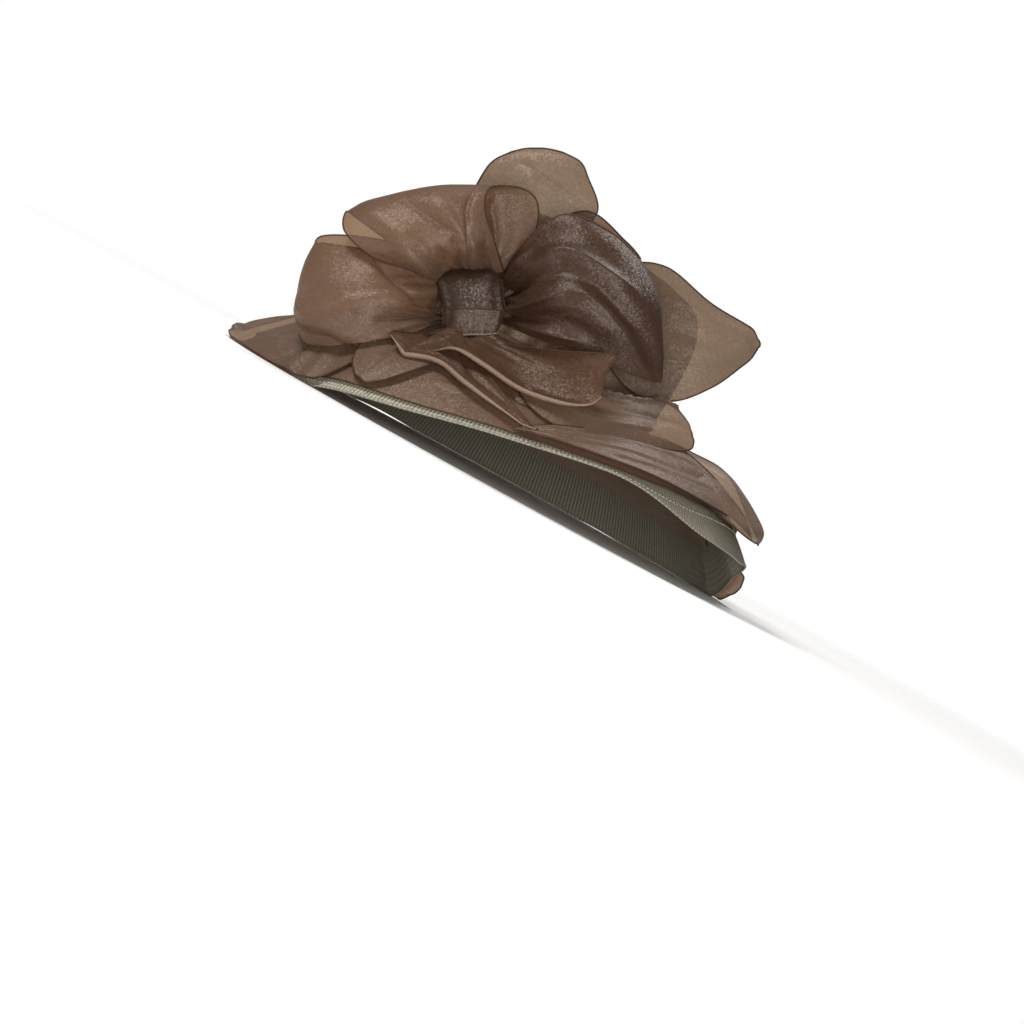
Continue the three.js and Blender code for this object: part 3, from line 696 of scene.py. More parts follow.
def crown_lining_point(v, u):
    point = crown_point(v, u)
    height = mix(CROWN_FOOT, point.z - CROWN_LINING_DROP, v**0.3)
    return Vector((point.x * CROWN_LINING_SHARE, point.y * CROWN_LINING_SHARE, height))


crown_lining, spots = cloth(
    "crown_lining", crown_lining_point, CROWN_LINING_GRID, CROWN_SIZE, lining_cloth_painted_lighter, ring=True
)

# Round the crown's foot runs a bias band of the same cloth, folded in three uneven rolls, and
# inside it a ribbed ribbon, sewn in by its lower edge, that sits on the head.
FOOT_BAND_HEIGHT = 17
FOOT_BAND_ROLLS = 3
FOOT_ROLL_DEPTH = 2.1
FOOT_BAND_GRID = (30, 360)
FOOT_BAND_SIZE = (590, 34)
RIBBON_LENGTH = 575
RIBBON_HEIGHT = 26
RIBBON_RIB = 1.2
RIBBON_SHARE = 0.955
RIBBON_SWELL = 1.5
RIBBON_GRID = (10, 240)


def foot_band_point(v, u):
    angle = 360 * u
    turn = math.tau * u
    wander = noise.noise(Vector((2 * math.cos(turn), 2 * math.sin(turn), 5)))
    roll = abs(math.sin(math.pi * FOOT_BAND_ROLLS * (v + 0.12 * wander)))
    out = head_radius(angle) * mix(1.004, 1.02, v) + CROWN_WALL / 2 + 0.5 + FOOT_ROLL_DEPTH * roll
    return polar(angle, out, CROWN_FOOT + 1.6 + v * (FOOT_BAND_HEIGHT + 2 * wander))


foot_band, spots = cloth(
    "crown_foot_band", foot_band_point, FOOT_BAND_GRID, FOOT_BAND_SIZE, crown_cloth, ring=True
)
seam = [polar(at, head_radius(at) + FOOT_OUT + 1.2, CROWN_FOOT + 1.9) for at in range(0, 360, 2)]
foot_seam = cord("crown_foot_seam", seam, HEM_RADIUS, hem_thread, closed=True)

# Grosgrain is a ribbed rayon ribbon, matt, with a fine shadow between its ribs.
ribbon_weave, tree = new_material("ribbed_head_ribbon")
where = add(tree, "UVMap").outputs[0]
ribs = bands(tree, where, RIBBON_RIB, "X")
grain = blotches(tree, add(tree, "TexCoord").outputs["Object"], 6)
tint = between(tree, grain, "#3a2e27", "#52443a")
lift = add(tree, "Bump", {"Height": ribs, "Strength": 0.5, "Distance": 0.3 * MM}).outputs[0]
shader = add(
    tree,
    "BsdfPrincipled",
    {"Base Color": tint, "Roughness": 0.55, "Sheen Weight": 0.3, "Normal": lift},
)
add(tree, "OutputMaterial", {"Surface": shader.outputs[0]})


def ribbon_point(v, u):
    angle = 360 * u
    radius = head_radius(angle) * RIBBON_SHARE - RIBBON_SWELL * math.sin(math.pi * v)
    return polar(angle, radius, CROWN_FOOT + 1 + RIBBON_HEIGHT * v)


ribbon, spots = cloth(
    "head_ribbon", ribbon_point, RIBBON_GRID, (RIBBON_LENGTH, RIBBON_HEIGHT), ribbon_weave, ring=True
)

# The petals on the brim: sheer single layers, each between two wired hems that run from the
# crown's foot to its tip. Two stand off the brim, and a narrow flounce lies along the arch.
PETAL_WALL = 1.1
PETAL_STAND = 20
FACET_ROOM = 0.9
PETAL_ROOT = (BRIM_WALL + PETAL_WALL) / 2 + GAP
PETAL_SEAT = PETAL_ROOT + FACET_ROOM
PETAL_LAYER = PETAL_WALL + GAP + FACET_ROOM
PETAL_GRID = (70, 60)
# Each petal's rows run from its root to its tip. They give its two edges, as an angle and a share
# of the brim's reach, how far each edge lifts off, and how far the middle puffs. beneath counts
# the layers under it, size is its cut width and length, and folds are as the function takes them.
PETAL_COLUMNS = ("at", "angle1", "out1", "angle2", "out2", "lift1", "lift2", "puff")
BRIM_PETALS = {
    "left": {
        "rows": [
            (0, 222, 0.01, 196, 0.01, 0, 0, 0),
            (0.25, 232, 0.5, 188, 0.3, 0, 0, 0),
            (0.45, 229, 0.97, 180, 0.5, 0, 0.05, 0),
            (0.65, 215, 1.05, 172, 0.8, 0, 0.3, 0.05),
            (0.85, 198, 1.06, 172, 0.98, 0, 0.4, 0.05),
            (0.95, 189.5, 1.062, 177.5, 1.045, 0, 0.15, 0.02),
            (1, 184.6, 1.066, 183.6, 1.064, 0, 0.03, 0),
        ],
        "beneath": 0,
        "size": (150, 160),
        "area": 19500,
        "folds": [
            (3, 4, [(0.36, 0.26), (0.42, 0.12), (0.5, 0)]),
            (3, 3.5, [(0.38, 0.3), (0.48, 0.16), (0.58, 0)]),
            (-2.6, 2.5, [(0.34, 0.25), (0.4, 0.1), (0.45, 0)]),
            (-2.6, 2.5, [(0.38, 0.34), (0.52, 0.2), (0.66, 0)]),
            (3.5, 8, [(0.55, 0.35), (0.7, 0.5), (0.9, 0.6)]),
            (-1.4, 3, [(0.45, 0.5), (0.65, 0.3), (0.8, 0.1)]),
            (1.4, 5, [(0.3, 0.7), (0.6, 0.75), (0.9, 0.8)]),
        ],
    },
    "front": {
        "rows": [
            (0, 226, 0.06, 250, 0.06, 0, 0, 0),
            (0.4, 223, 0.42, 251, 0.42, 0.03, 0, 0),
            (0.7, 227, 0.68, 247, 0.72, 0.05, 0, 0),
            (0.9, 232, 0.85, 243, 0.9, 0.05, 0, 0),
            (1, 236, 0.93, 240, 0.96, 0.03, 0, 0),
        ],
        "beneath": 1,
        "size": (75, 95),
        "area": 6400,
        "folds": [(1.2, 4, [(0.1, 0.3), (0.5, 0.35), (0.9, 0.5)]), (-1.2, 2.5, [(0.1, 0.6), (0.6, 0.7)])],
    },
    "standing": {
        "rows": [
            (0, 262, 0.3, 270, 0.01, 0, 0, 0),
            (0.25, 272, 0.7, 285, 0.05, 0, 0.2, 0.3),
            (0.45, 285, 0.82, 298, 0.12, 0, 0.5, 0.4),
            (0.65, 302, 0.68, 310, 0.2, 0.2, 1.1, 0.4),
            (0.85, 317, 0.57, 319.5, 0.28, 0.5, 1.45, 0.3),
            (0.95, 322, 0.54, 323, 0.34, 0.75, 1.4, 0.15),
            (1, 323.5, 0.5, 323.5, 0.4, 0.95, 1.3, 0),
        ],
        "beneath": 0,
        "size": (80, 130),
        "area": 9600,
        "folds": [
            (-4.5, 2.5, [(0.4, 0.7), (0.6, 0.63), (0.7, 0.75)]),
            (-4.5, 2.5, [(0.72, 0.9), (0.81, 0.76), (0.86, 0.8)]),
            (2, 5, [(0.2, 0.4), (0.5, 0.4), (0.85, 0.4)]),
            (-1.4, 3, [(0.1, 0.25), (0.4, 0.2), (0.7, 0.2)]),
        ],
    },
    "right": {
        "rows": [
            (0, 300, 0.01, 350, 0.01, 0, 0.05, 0),
            (0.3, 303, 0.5, 354, 0.3, 0, 0.5, 0),
            (0.55, 313, 0.77, 356, 0.53, 0, 1, 0.1),
            (0.8, 326, 0.93, 356, 0.79, 0, 0.85, 0.2),
            (0.92, 333, 0.98, 352, 0.9, 0.05, 0.6, 0.25),
            (0.97, 337, 0.985, 350, 0.94, 0.08, 0.4, 0.15),
            (1, 341, 0.975, 347, 0.96, 0.12, 0.25, 0),
        ],
        "beneath": 0,
        "size": (135, 125),
        "area": 15000,
        "folds": [
            (1.6, 7, [(0.1, 0.5), (0.5, 0.55), (0.9, 0.6)]),
            (-1.4, 3, [(0.1, 0.3), (0.5, 0.3), (0.85, 0.35)]),
        ],
    },
    "flounce": {
        "rows": [
            (0, 272, 0.955, 274, 0.9, 0, 0, 0),
            (0.25, 292, 0.968, 288, 0.74, 0, 0.03, 0),
            (0.5, 312, 0.945, 303, 0.56, 0, 0.15, 0.05),
            (0.7, 326, 0.91, 319, 0.5, 0, 0.4, 0.05),
            (0.85, 335, 0.91, 329, 0.66, 0, 0.4, 0.05),
            (1, 343, 0.94, 338, 0.86, 0, 0.25, 0),
        ],
        "beneath": 1,
        "size": (60, 170),
        "area": 7500,
        "folds": [
            (1.6, 5, [(0.1, 0.4), (0.5, 0.4), (0.9, 0.5)]),
            (-1.8, 2.5, [(0.1, 0.6), (0.4, 0.7), (0.75, 0.7)]),
            (-1.4, 2, [(0.3, 0.25), (0.6, 0.3), (0.85, 0.45)]),
        ],
    },
    "back": {
        "rows": [
            (0, 358, 0.01, 400, 0.01, 0, 0, 0),
            (0.4, 359, 0.45, 400, 0.45, 0, 0.1, 0.1),
            (0.75, 358, 0.9, 395, 0.85, 0, 0.1, 0.1),
            (0.92, 359, 1.03, 389, 1.02, 0, 0, 0.05),
            (1, 365, 1.06, 380, 1.05, 0, 0, 0),
        ],
        "beneath": 0,
        "size": (130, 135),
        "area": 16800,
        "folds": [
            (1.6, 6, [(0.05, 0.3), (0.5, 0.35), (0.95, 0.4)]),
            (-1.4, 3, [(0.1, 0.65), (0.5, 0.6), (0.9, 0.6)]),
        ],
    },
}

petal_cloth = organza("sheer_petal_organza", "#4d372c", "#604d3f", 0.89, "#ffd4a6", 0.08)


def gathers(root, u, count, depth, reach, seed):
    """Soft folds that fan out from where a cloth is sewn down, uneven, and die away over reach."""
    sway = 1.1 * noise.noise(Vector((4 * u, 3 * root, seed)))
    own = 0.55 + 0.9 * abs(noise.noise(Vector((2.7 * u * count, seed, 0.5))))
    return depth * own * math.exp(-root / reach) * math.cos(math.tau * (count * u + sway + seed))


def buckles(v, u, across, along, depth, seed):
    """The wide uneven waves of a stiff cloth, so many across it and along it."""
    return depth * noise.noise(Vector((across * u, along * v, seed)))


def hem_calm(u):
    """The share of a sheet's waves that is left near its side hems, which hold the cloth even."""
    return 0.4 + 0.6 * smooth(0, 0.12, min(u, 1 - u))


def hems(name, spots, grid, sides):
    """Rolled hems along a sheet's edges: its two long sides, or both of them and the tip between."""
    rows, columns = grid
    first = [spots[(row, 0)] for row in range(rows + 1)]
    tip = [spots[(rows, column)] for column in range(1, columns)]
    last = [spots[(row, columns)] for row in range(rows, -1, -1)]
    lines = [first + tip + last] if sides == "round" else [first, last]
    return [
        cord(f"{name}_hem_{number + 1}", line, HEM_RADIUS, hem_thread) for number, line in enumerate(lines)
    ]


for number, (name, petal) in enumerate(BRIM_PETALS.items()):

    def petal_middle(v, u):
        seat = mix(PETAL_ROOT, PETAL_SEAT + PETAL_LAYER * petal["beneath"], min(v * 10, 1))
        at = {column: read(petal["rows"], index, v) for index, column in enumerate(PETAL_COLUMNS)}
        angle = mix(at["angle1"], at["angle2"], u)
        share = mix(at["out1"], at["out2"], u)
        lift = mix(at["lift1"], at["lift2"], u) + at["puff"] * 4 * u * (1 - u)
        normal = brim_normal(angle, min(share, 1))
        return brim_point(angle, share) + normal * (seat + PETAL_STAND * lift)

    def petal_relief(v, u):
        lines = folds(petal["folds"], petal["size"], v, u)
        waves = gathers(v, u, 7, 0.6, 0.35, number) + buckles(v, u, 3, 3, 1.3, number)
        return lines + waves * hem_calm(u)

    piece, spots = cloth(
        f"brim_petal_{name}_organza", petal_middle, PETAL_GRID, petal["size"], petal_cloth, petal_relief
    )
    if name != "flounce":
        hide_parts(f"brim_petal_{name}")
    edges = hems(f"brim_petal_{name}", spots, PETAL_GRID, "round")

# The bow: loops and tails of doubled organza and two leaves of a single layer, all sewn in under
# one knot at the front of the crown, so they are gathered there. Its own frame has x to the
# right along its tilt, y up, and z out from the crown.
BOW_ANGLE = 236.4
BOW_HEIGHT = 26
BOW_TILT = 28.7
KNOT_WIDTH = 43
KNOT_HEIGHT = 40
KNOT_DEPTH = 36
KNOT_STAND = 12
LOOP_REACH = 100
LOOP_DEPTH = 40

bow_foot = crown_reach(BOW_ANGLE, FOOT_HEIGHT + BOW_HEIGHT) + KNOT_STAND
bow_frame = (
    Matrix.Translation(polar(BOW_ANGLE, bow_foot, FOOT_HEIGHT + BOW_HEIGHT))
    @ Matrix.Rotation(-math.radians(BOW_TILT), 4, "Y")
    @ Matrix.Rotation(math.radians(90), 4, "X")
)


def clear_of_hat(point, room, beneath):
    """Moves a point of the bow out of the crown, and up off the brim and what lies on it."""
    point = bow_frame @ point
    angle = math.degrees(math.atan2(point.y, point.x))
    out = math.hypot(point.x, point.y)
    reach = crown_reach(angle, point.z) + room
    if out < reach and point.z < CROWN_FOOT + CROWN_HEIGHT:
        point.x *= reach / out
        point.y *= reach / out
    share = max((max(out, reach) - head_radius(angle) - FOOT_OUT) / brim_length(angle), 0.01)
    seat = (PETAL_SEAT + PETAL_LAYER * beneath) / brim_normal(angle, min(share, 1)).z
    if share < 1.1:
        point.z = max(point.z, brim_point(angle, share).z + seat)
    return point


KNOT_MIDDLE = Vector((0, 0, 0))
KNOT_TOP = Vector((0, KNOT_HEIGHT / 2 + GAP, 0))
KNOT_RIGHT = Vector((KNOT_WIDTH / 2 + GAP, 0, 0))
# A bow piece's rows run along it, for a loop out and back to the knot. They give its two edges in
# shares of LOOP_REACH, how far each lies in front in shares of LOOP_DEPTH, and how far its middle
# puffs forward and bows out along the piece.
BOW_COLUMNS = ("at", "x1", "y1", "x2", "y2", "fore1", "fore2", "puff", "crest")
BOW_PIECES = {
    "loop_top": {
        "from": KNOT_TOP,
        "grid": (150, 80),
        "size": (85, 175),
        "area": 14875,
        "rows": [
            (0, -0.25, -0.02, 0.22, 0, 0.1, 0.15, 0, 0),
            (0.13, -0.46, 0.01, 0.16, 0.19, 0.6, 0.6, 0.25, 0),
            (0.27, -0.68, 0.09, 0.1, 0.37, 0.65, 0.65, 0.35, 0.02),
            (0.4, -0.88, 0.27, 0.1, 0.52, 0.45, 0.6, 0.3, 0.05),
            (0.5, -0.88, 0.41, 0.16, 0.58, 0.1, 0.4, 0.15, 0.07),
            (0.6, -0.8, 0.37, 0.36, 0.57, -0.2, 0.25, 0, 0.05),
            (0.74, -0.62, 0.24, 0.46, 0.45, -0.2, 0.2, 0, 0),
            (0.88, -0.4, 0.09, 0.42, 0.21, 0, 0.15, 0, 0),
            (1, -0.22, -0.02, 0.26, 0, 0.05, 0.1, 0, 0),
        ],
        "folds": [
            (6, 9, [(0.03, 0.1), (0.15, 0.22), (0.3, 0.3), (0.4, 0.22), (0.5, 0.08)]),
            (-4.5, 4, [(0.02, 0.4), (0.12, 0.58), (0.22, 0.7), (0.36, 0.55), (0.45, 0.42)]),
            (3.5, 7, [(0.04, 0.55), (0.15, 0.75), (0.3, 0.72), (0.44, 0.65)]),
            (-4, 2.2, [(0.01, 0.52), (0.12, 0.7), (0.26, 0.84), (0.38, 0.9), (0.467, 0.912)]),
            (-3.5, 2.5, [(0.98, 0.62), (0.853, 0.688), (0.713, 0.713), (0.627, 0.812)]),
            (-3, 2.5, [(0, 0.25), (0.1, 0.4), (0.18, 0.48)]),
            (-2.5, 2.2, [(0, 0.8), (0.09, 0.88), (0.16, 0.92)]),
        ],
    },
    "loop_left": {
        "from": -KNOT_RIGHT,
        "grid": (150, 80),
        "size": (75, 185),
        "area": 13875,
        "beneath": 3,
        "rows": [
            (0, 0, -0.17, 0, 0.25, 0.1, -0.05, 0, 0),
            (0.14, -0.2, -0.32, -0.2, 0.36, 0.8, 0.2, 0.15, 0),
            (0.28, -0.48, -0.38, -0.46, 0.43, 1, 0.1, 0.3, 0),
            (0.4, -0.77, -0.35, -0.72, 0.465, 0.8, -0.1, 0.38, 0.01),
            (0.46, -0.93, -0.3, -0.86, 0.46, 0.55, -0.2, 0.25, 0.05),
            (0.5, -0.98, -0.22, -0.9, 0.42, 0.3, -0.3, 0.1, 0.08),
            (0.6, -0.89, -0.19, -0.82, 0.42, -0.1, -0.6, 0, 0.04),
            (0.76, -0.53, -0.18, -0.48, 0.36, -0.25, -0.6, -0.1, 0),
            (0.9, -0.2, -0.14, -0.18, 0.24, -0.15, -0.3, 0, 0),
            (1, 0, -0.13, 0, 0.22, -0.1, -0.2, 0, 0),
        ],
        "folds": [
            (5, 9, [(0.0, 0.6), (0.1, 0.5), (0.247, 0.48), (0.353, 0.42), (0.42, 0.25), (0.45, 0.05)]),
            (-5, 3.5, [(0, 0.2), (0.1, 0.28), (0.2, 0.3), (0.28, 0.26)]),
            (-3.5, 2.5, [(0, 0.42), (0.09, 0.45), (0.16, 0.46)]),
            (-5, 4, [(0, 0.32), (0.1, 0.42), (0.175, 0.57), (0.225, 0.69), (0.3, 0.88)]),
            (3, 7, [(0.08, 0.8), (0.2, 0.88), (0.32, 0.8)]),
            (3.5, 6, [(0.36, 0.12), (0.43, 0.2), (0.49, 0.3)]),
            (-3, 3, [(0.33, 0.02), (0.4, 0.12), (0.46, 0.1)]),
            (-3, 3, [(1, 0.5), (0.85, 0.5), (0.7, 0.45)]),
        ],
    },
    "loop_right": {
        "from": KNOT_RIGHT,
        "grid": (150, 80),
        "size": (95, 215),
        "area": 20425,
        "rows": [
            (0, 0, -0.16, 0, 0.2, 0.1, 0.1, 0, 0),
            (0.13, 0.28, -0.29, 0.14, 0.4, 0.9, 0.65, 0.2, 0),
            (0.26, 0.6, -0.4, 0.42, 0.58, 1.1, 0.75, 0.4, 0),
            (0.38, 0.9, -0.53, 0.74, 0.46, 1, 0.7, 0.4, -0.02),
            (0.48, 1.1, -0.58, 0.95, 0.28, 0.7, 0.5, 0.2, -0.07),
            (0.58, 1.02, -0.45, 0.86, 0.4, 0.4, 0.25, 0, -0.05),
            (0.72, 0.68, -0.3, 0.58, 0.62, 0.35, 0.2, 0, 0),
            (0.87, 0.28, -0.18, 0.24, 0.45, 0.3, 0.1, 0, 0),
            (1, 0, -0.12, 0, 0.12, 0.15, 0.05, 0, 0),
        ],
        "folds": [
            (7, 9, [(0.03, 0.56), (0.147, 0.62), (0.22, 0.62), (0.32, 0.53), (0.4, 0.35), (0.46, 0)]),
            (-5, 3.5, [(0, 0.8), (0.06, 0.84), (0.13, 0.9)]),
            (-5, 3.5, [(0.01, 0.27), (0.08, 0.33), (0.14, 0.39), (0.22, 0.43)]),
            (-3.5, 3, [(0.28, 0.44), (0.33, 0.38), (0.37, 0.26), (0.43, 0.02)]),
            (-3.5, 3, [(0, 0.1), (0.12, 0.1), (0.25, 0.08)]),
            (4, 8, [(0.03, 0.15), (0.15, 0.22), (0.3, 0.15)]),
            (-3, 2.2, [(0, 0.45), (0.06, 0.5), (0.12, 0.52)]),
            (3, 10, [(0.1, 0.95), (0.25, 0.85), (0.4, 0.7)]),
            (-3, 4, [(0.2, 0.78), (0.3, 0.72), (0.42, 0.62)]),
            (-3, 3, [(1, 0.5), (0.85, 0.55), (0.7, 0.5)]),
        ],
    },
    "leaf_upper": {
        "from": KNOT_TOP,
        "grid": (70, 60),
        "size": (75, 100),
        "area": 6600,
        "rows": [
            (0, -0.05, 0.01, 0.12, 0.01, -0.3, -0.2, 0, 0),
            (0.3, -0.07, 0.27, 0.55, 0.17, -0.45, -0.1, 0, 0),
            (0.6, -0.01, 0.55, 0.87, 0.41, -0.5, -0.2, 0.1, 0.03),
            (0.85, 0.09, 0.74, 0.8, 0.7, -0.5, -0.35, 0.1, 0.05),
            (0.94, 0.16, 0.81, 0.75, 0.79, -0.5, -0.4, 0.05, 0.05),
            (1, 0.27, 0.86, 0.64, 0.85, -0.5, -0.45, 0, 0.03),
        ],
        "folds": [
            (-2.6, 1.8, [(0.86, 0.33), (0.843, 0.383), (0.7, 0.683), (0.614, 0.983)]),
            (1.6, 5, [(0.2, 0.4), (0.6, 0.4), (0.9, 0.5)]),
            (-1.5, 2.5, [(0, 0.6), (0.3, 0.65), (0.5, 0.85)]),
        ],
    },
    "leaf_side": {
        "from": KNOT_MIDDLE,
        "grid": (80, 60),
        "size": (90, 130),
        "area": 10000,
        "rows": [
            (0, 0.78, -0.16, 0.82, 0.06, 0, 0, 0, 0),
            (0.25, 1.08, -0.6, 1.05, 0.25, -0.35, -0.2, 0, 0),
            (0.5, 1.4, -0.7, 1.37, 0.25, -0.6, -0.6, 0, 0),
            (0.72, 1.7, -0.6, 1.69, 0, -0.8, -0.9, 0.1, 0),
            (0.9, 1.93, -0.44, 1.95, -0.15, -1.1, -1.1, 0.1, 0),
            (0.96, 1.99, -0.39, 2.005, -0.19, -1.16, -1.16, 0.03, -0.01),
            (1, 2.03, -0.33, 2.035, -0.25, -1.2, -1.2, 0, -0.02),
        ],
        "folds": [
            (1.8, 7, [(0.1, 0.5), (0.5, 0.55), (0.9, 0.5)]),
            (-1.5, 3, [(0, 0.3), (0.4, 0.3), (0.75, 0.3)]),
            (-1.5, 3, [(0, 0.7), (0.4, 0.78), (0.7, 0.8)]),
        ],
    },
    "tail_right": {
        "from": -KNOT_TOP,
        "grid": (80, 40),
        "size": (35, 115),
        "area": 4025,
        "beneath": 1,
        "rows": [
            (0, -0.26, -0.16, 0.08, 0.02, 1.15, 0.25, -0.3, 0),
            (0.14, -0.1, -0.15, 0.2, -0.08, 1.5, 0.5, -0.3, 0.02),
            (0.3, 0.08, -0.25, 0.32, -0.12, 1.6, 0.7, -0.45, 0.02),
            (0.6, 0.36, -0.43, 0.6, -0.165, 1.7, 1.3, -0.4, 0),
            (0.82, 0.66, -0.525, 0.86, -0.185, 1.9, 1.7, -0.2, 0),
            (0.94, 0.82, -0.53, 0.965, -0.2, 1.95, 1.8, -0.1, 0.01),
            (1, 0.89, -0.48, 0.99, -0.205, 1.9, 1.8, 0, 0.02),
        ],
        "folds": [
            (2.5, 4, [(0, 0.3), (0.3, 0.2), (0.7, 0.14), (0.95, 0.12)]),
            (-2, 4, [(0.1, 0.6), (0.6, 0.55)]),
        ],
    },
    "tail_left": {
        "from": -KNOT_TOP,
        "grid": (80, 40),
        "size": (28, 120),
        "area": 3100,
        "beneath": 2,
        "rows": [
            (0, -0.54, -0.055, -0.53, -0.025, 1.25, 1.2, 0, 0),
            (0.25, -0.44, -0.195, -0.32, -0.035, 1.35, 0.8, 0.05, 0),
            (0.5, -0.28, -0.385, -0.09, 0, 1.5, 0.4, 0.1, 0),
            (0.7, -0.12, -0.525, -0.04, -0.305, 1.85, 1.2, 0.05, 0),
            (0.85, 0.08, -0.665, 0.15, -0.565, 2.15, 1.85, 0, 0),
            (1, 0.38, -0.825, 0.42, -0.785, 2.47, 2.42, 0, 0),
        ],
        "folds": [
            (3, 4, [(0.3, 0.95), (0.45, 0.75), (0.6, 0.55), (0.85, 0.5)]),
            (-4, 3, [(0.35, 0.8), (0.5, 0.55), (0.7, 0.4)]),
        ],
    },
}
LOOPS = ("loop_top", "loop_left", "loop_right")
ROLL_RADIUS = 1.9
ROLL_FORWARD = 0.6

bow_cloth = organza("bow_organza", "#4b3125", "#5f4b3c", 0.84, "#ffd4a6", 0.1)
leaf_cloth = organza("single_bow_organza", "#46342a", "#574639", 0.9, "#ffdcb4", 0.08)
# The right loop's cloth is a darker copy of the bow's: partly its extra layers, partly painted shade on the
# side turned from the key light.
right_loop_cloth_painted_shade = organza("right_loop_organza_layers_and_painted_shade", "#27150b", "#37251b", 0.88, "#ffd4a6", 0.06)
tail_cloth = organza("bow_tail_organza", "#331d12", "#4a3427", 0.86, "#ffd4a6", 0.1)
# The rolled edges' pale colour is a painted highlight: the light that a rolled edge catches.
rolled_edge_painted_highlight_cloth = organza("rolled_organza_painted_highlight", "#5f483b", "#7d6758", 0.95, "#ffd4a6", 0.2)

for number, (name, part) in enumerate(BOW_PIECES.items()):
    loop = name in LOOPS

    def bow_middle(v, u):
        at = {column: read(part["rows"], index, v) for index, column in enumerate(BOW_COLUMNS)}
        start = Vector((at["x1"], at["y1"]))
        chord = Vector((at["x2"], at["y2"])) - start
        swell = 4 * u * (1 - u)
        side = Vector((-chord.y, chord.x)).normalized()
        spot = start + chord * u + side * at["crest"] * swell
        fore = mix(at["fore1"], at["fore2"], u) + at["puff"] * swell
        point = Vector((spot.x * LOOP_REACH, spot.y * LOOP_REACH, 0)) + part["from"]
        point.z = fore * LOOP_DEPTH
        room = PETAL_WALL / 2 + GAP + FACET_ROOM * min(v * 10, 1)
        return clear_of_hat(point, room, part.get("beneath", 0))

    def bow_relief(v, u):
        root = min(v, 1 - v) * 2 if loop else v
        free = smooth(0, 0.15, root)
        lines = folds(part["folds"], part["size"], v, u)
        fan = gathers(root, u, 4 if loop else 3, 1.3 if loop else 0.6, 0.3, number + 0.3)
        waves = fan + free * buckles(v, u, 3, 5, 2.4 if loop else 1, number)
        return lines + waves * hem_calm(u)

    plain = tail_cloth if name.startswith("tail") else bow_cloth
    # the right loop takes the darker copy, with its painted shade
    plain = right_loop_cloth_painted_shade if name == "loop_right" else plain
    plain = leaf_cloth if name.startswith("leaf") else plain
    piece, spots = cloth(f"bow_{name}_organza", bow_middle, part["grid"], part["size"], plain, bow_relief)
    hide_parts(f"bow_{name}")
    edges = hems(f"bow_{name}", spots, part["grid"], "sides" if loop else "round")
    # Each tail's lower edge is rolled, and the roll is drawn in the pale cloth: a painted highlight.
    if name.startswith("tail"):
        rows, columns = part["grid"]
        forward = Vector((0, -ROLL_RADIUS * ROLL_FORWARD, 0))
        rolled = [spots[(row, 0)] + forward for row in range(rows + 1)]
        edges.append(cord(f"bow_{name}_rolled_edge", rolled, ROLL_RADIUS, rolled_edge_painted_highlight_cloth, taper=0.3))

# The knot: two turns of doubled organza wound over a padded core and the roots of the loops.
# The upper turn ends in a hem across the middle; the one under it hangs below that, most at its left.
KNOT_BOXINESS = 0.42
KNOT_TAPER = 0.12
KNOT_LEAN = 9
CORE_GRID = (40, 72)
WRAP_GRID = (60, 50)
WRAP_REACH = 68
FLAP_HANG = 11
knot_cloth = organza("knot_organza_in_layers", "#20120a", "#302017", 0.96, "#ffd4a6", 0.05)
under_wrap_cloth = organza("grey_knot_organza", "#2b1a12", "#3e2d24", 0.95, "#ffd4a6", 0.1)


def boxy(value):
    return math.copysign(abs(value) ** KNOT_BOXINESS, value)


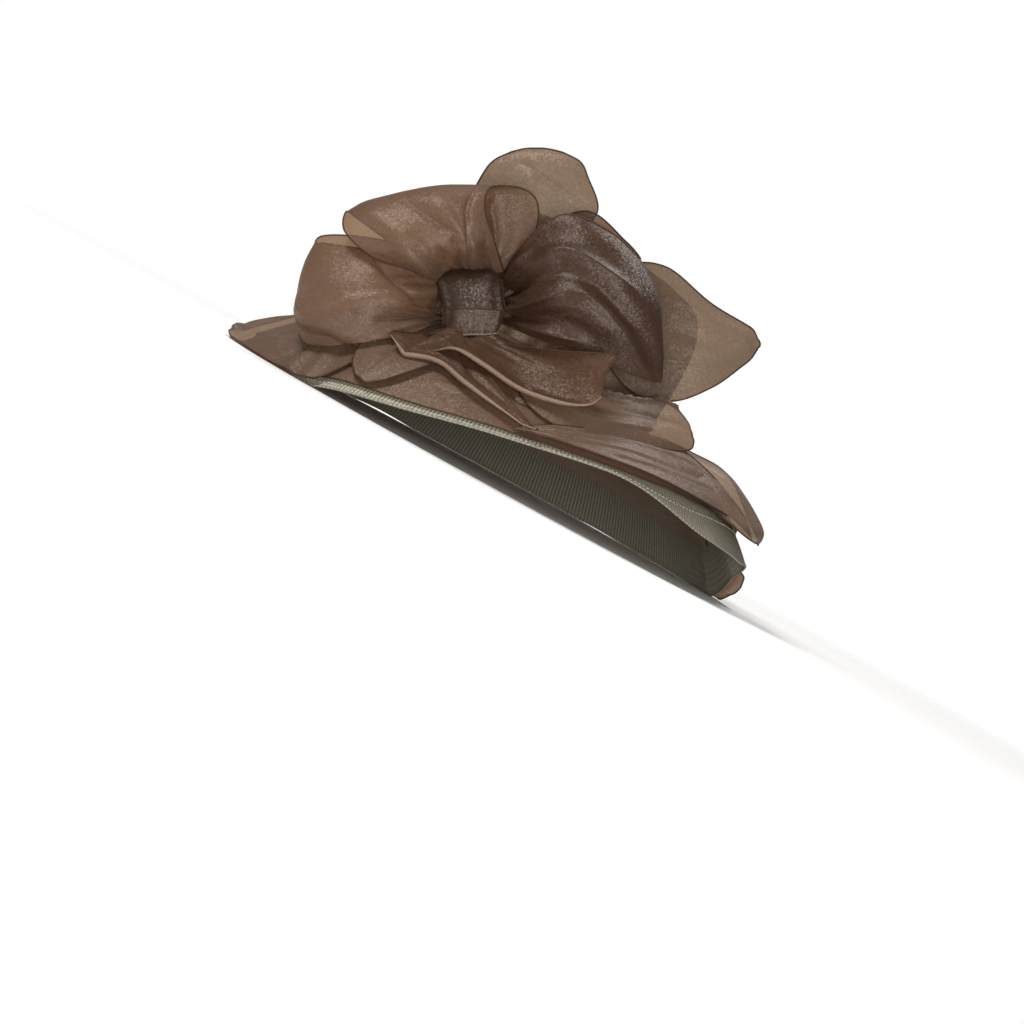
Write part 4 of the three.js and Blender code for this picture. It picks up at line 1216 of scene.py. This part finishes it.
def on_knot(across, over, stand):
    """A place on the knot: degrees across it from its middle, and over it from its front, up."""
    across = math.radians(across)
    over = math.radians(over)
    y = KNOT_HEIGHT / 2 * boxy(math.cos(across)) * boxy(math.sin(over))
    z = KNOT_DEPTH / 2 * boxy(math.cos(across)) * boxy(math.cos(over))
    narrow = 1 + KNOT_TAPER * (y / KNOT_HEIGHT - 0.3)
    x = KNOT_WIDTH / 2 * boxy(math.sin(across)) * narrow - y * math.tan(math.radians(KNOT_LEAN))
    return clear_of_hat(Vector((x, y, z)) * stand, GAP + FACET_ROOM / 2, 2)


def core_point(v, u):
    return on_knot(mix(-90, 90, v), 360 * u, 1)


core, spots = cloth("bow_knot_core", core_point, CORE_GRID, (60, 140), knot_cloth, ring=True)
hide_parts("bow_knot")

KNOT_WRAPS = {
    # the hem's degrees over the knot at its left, middle and right, the degrees of the first row,
    # how far it stands off the core, its cut size and its cloth
    "upper": (-2, -3, -10, 150, 1.08, (48, 62), knot_cloth),
    "under": (-78, -38, -62, 10, 1.04, (44, 30), under_wrap_cloth),
}
for number, (name, wrap) in enumerate(KNOT_WRAPS.items()):
    left, middle, right, first, stand, size, plain = wrap

    def wrap_point(v, u):
        hem = mix(left, middle, 2 * u) if u < 0.5 else mix(middle, right, 2 * u - 1)
        sway = 4 * noise.noise(Vector((2 * u, 2 * v, number)))
        point = on_knot(mix(-WRAP_REACH, WRAP_REACH, u), mix(first, hem, v) + sway * v, stand)
        point.z -= number * FLAP_HANG * v * v * mix(1, 0.5, u)
        return point

    def wrap_relief(v, u):
        turn = math.cos(math.tau * (2.2 * u + 0.35 * v + 0.4 * number))
        return 0.7 * turn + 0.5 * noise.noise(Vector((5 * u, 4 * v, number + 7)))

    rows, columns = WRAP_GRID
    piece, spots = cloth(f"bow_knot_{name}_wrap", wrap_point, WRAP_GRID, size, plain, wrap_relief)
    line = [spots[(rows, column)] for column in range(columns + 1)]
    # the under wrap's hem takes the pale rolled cloth, a painted highlight
    edge = cord(f"bow_knot_{name}_hem", line, HEM_RADIUS, hem_thread if name == "upper" else rolled_edge_painted_highlight_cloth)
    for side, column in (("left", 0), ("right", columns)):
        line = [spots[(row, column)] for row in range(rows + 1)]
        cord(f"bow_knot_{name}_{side}_fold", line, HEM_RADIUS * 0.8, plain)
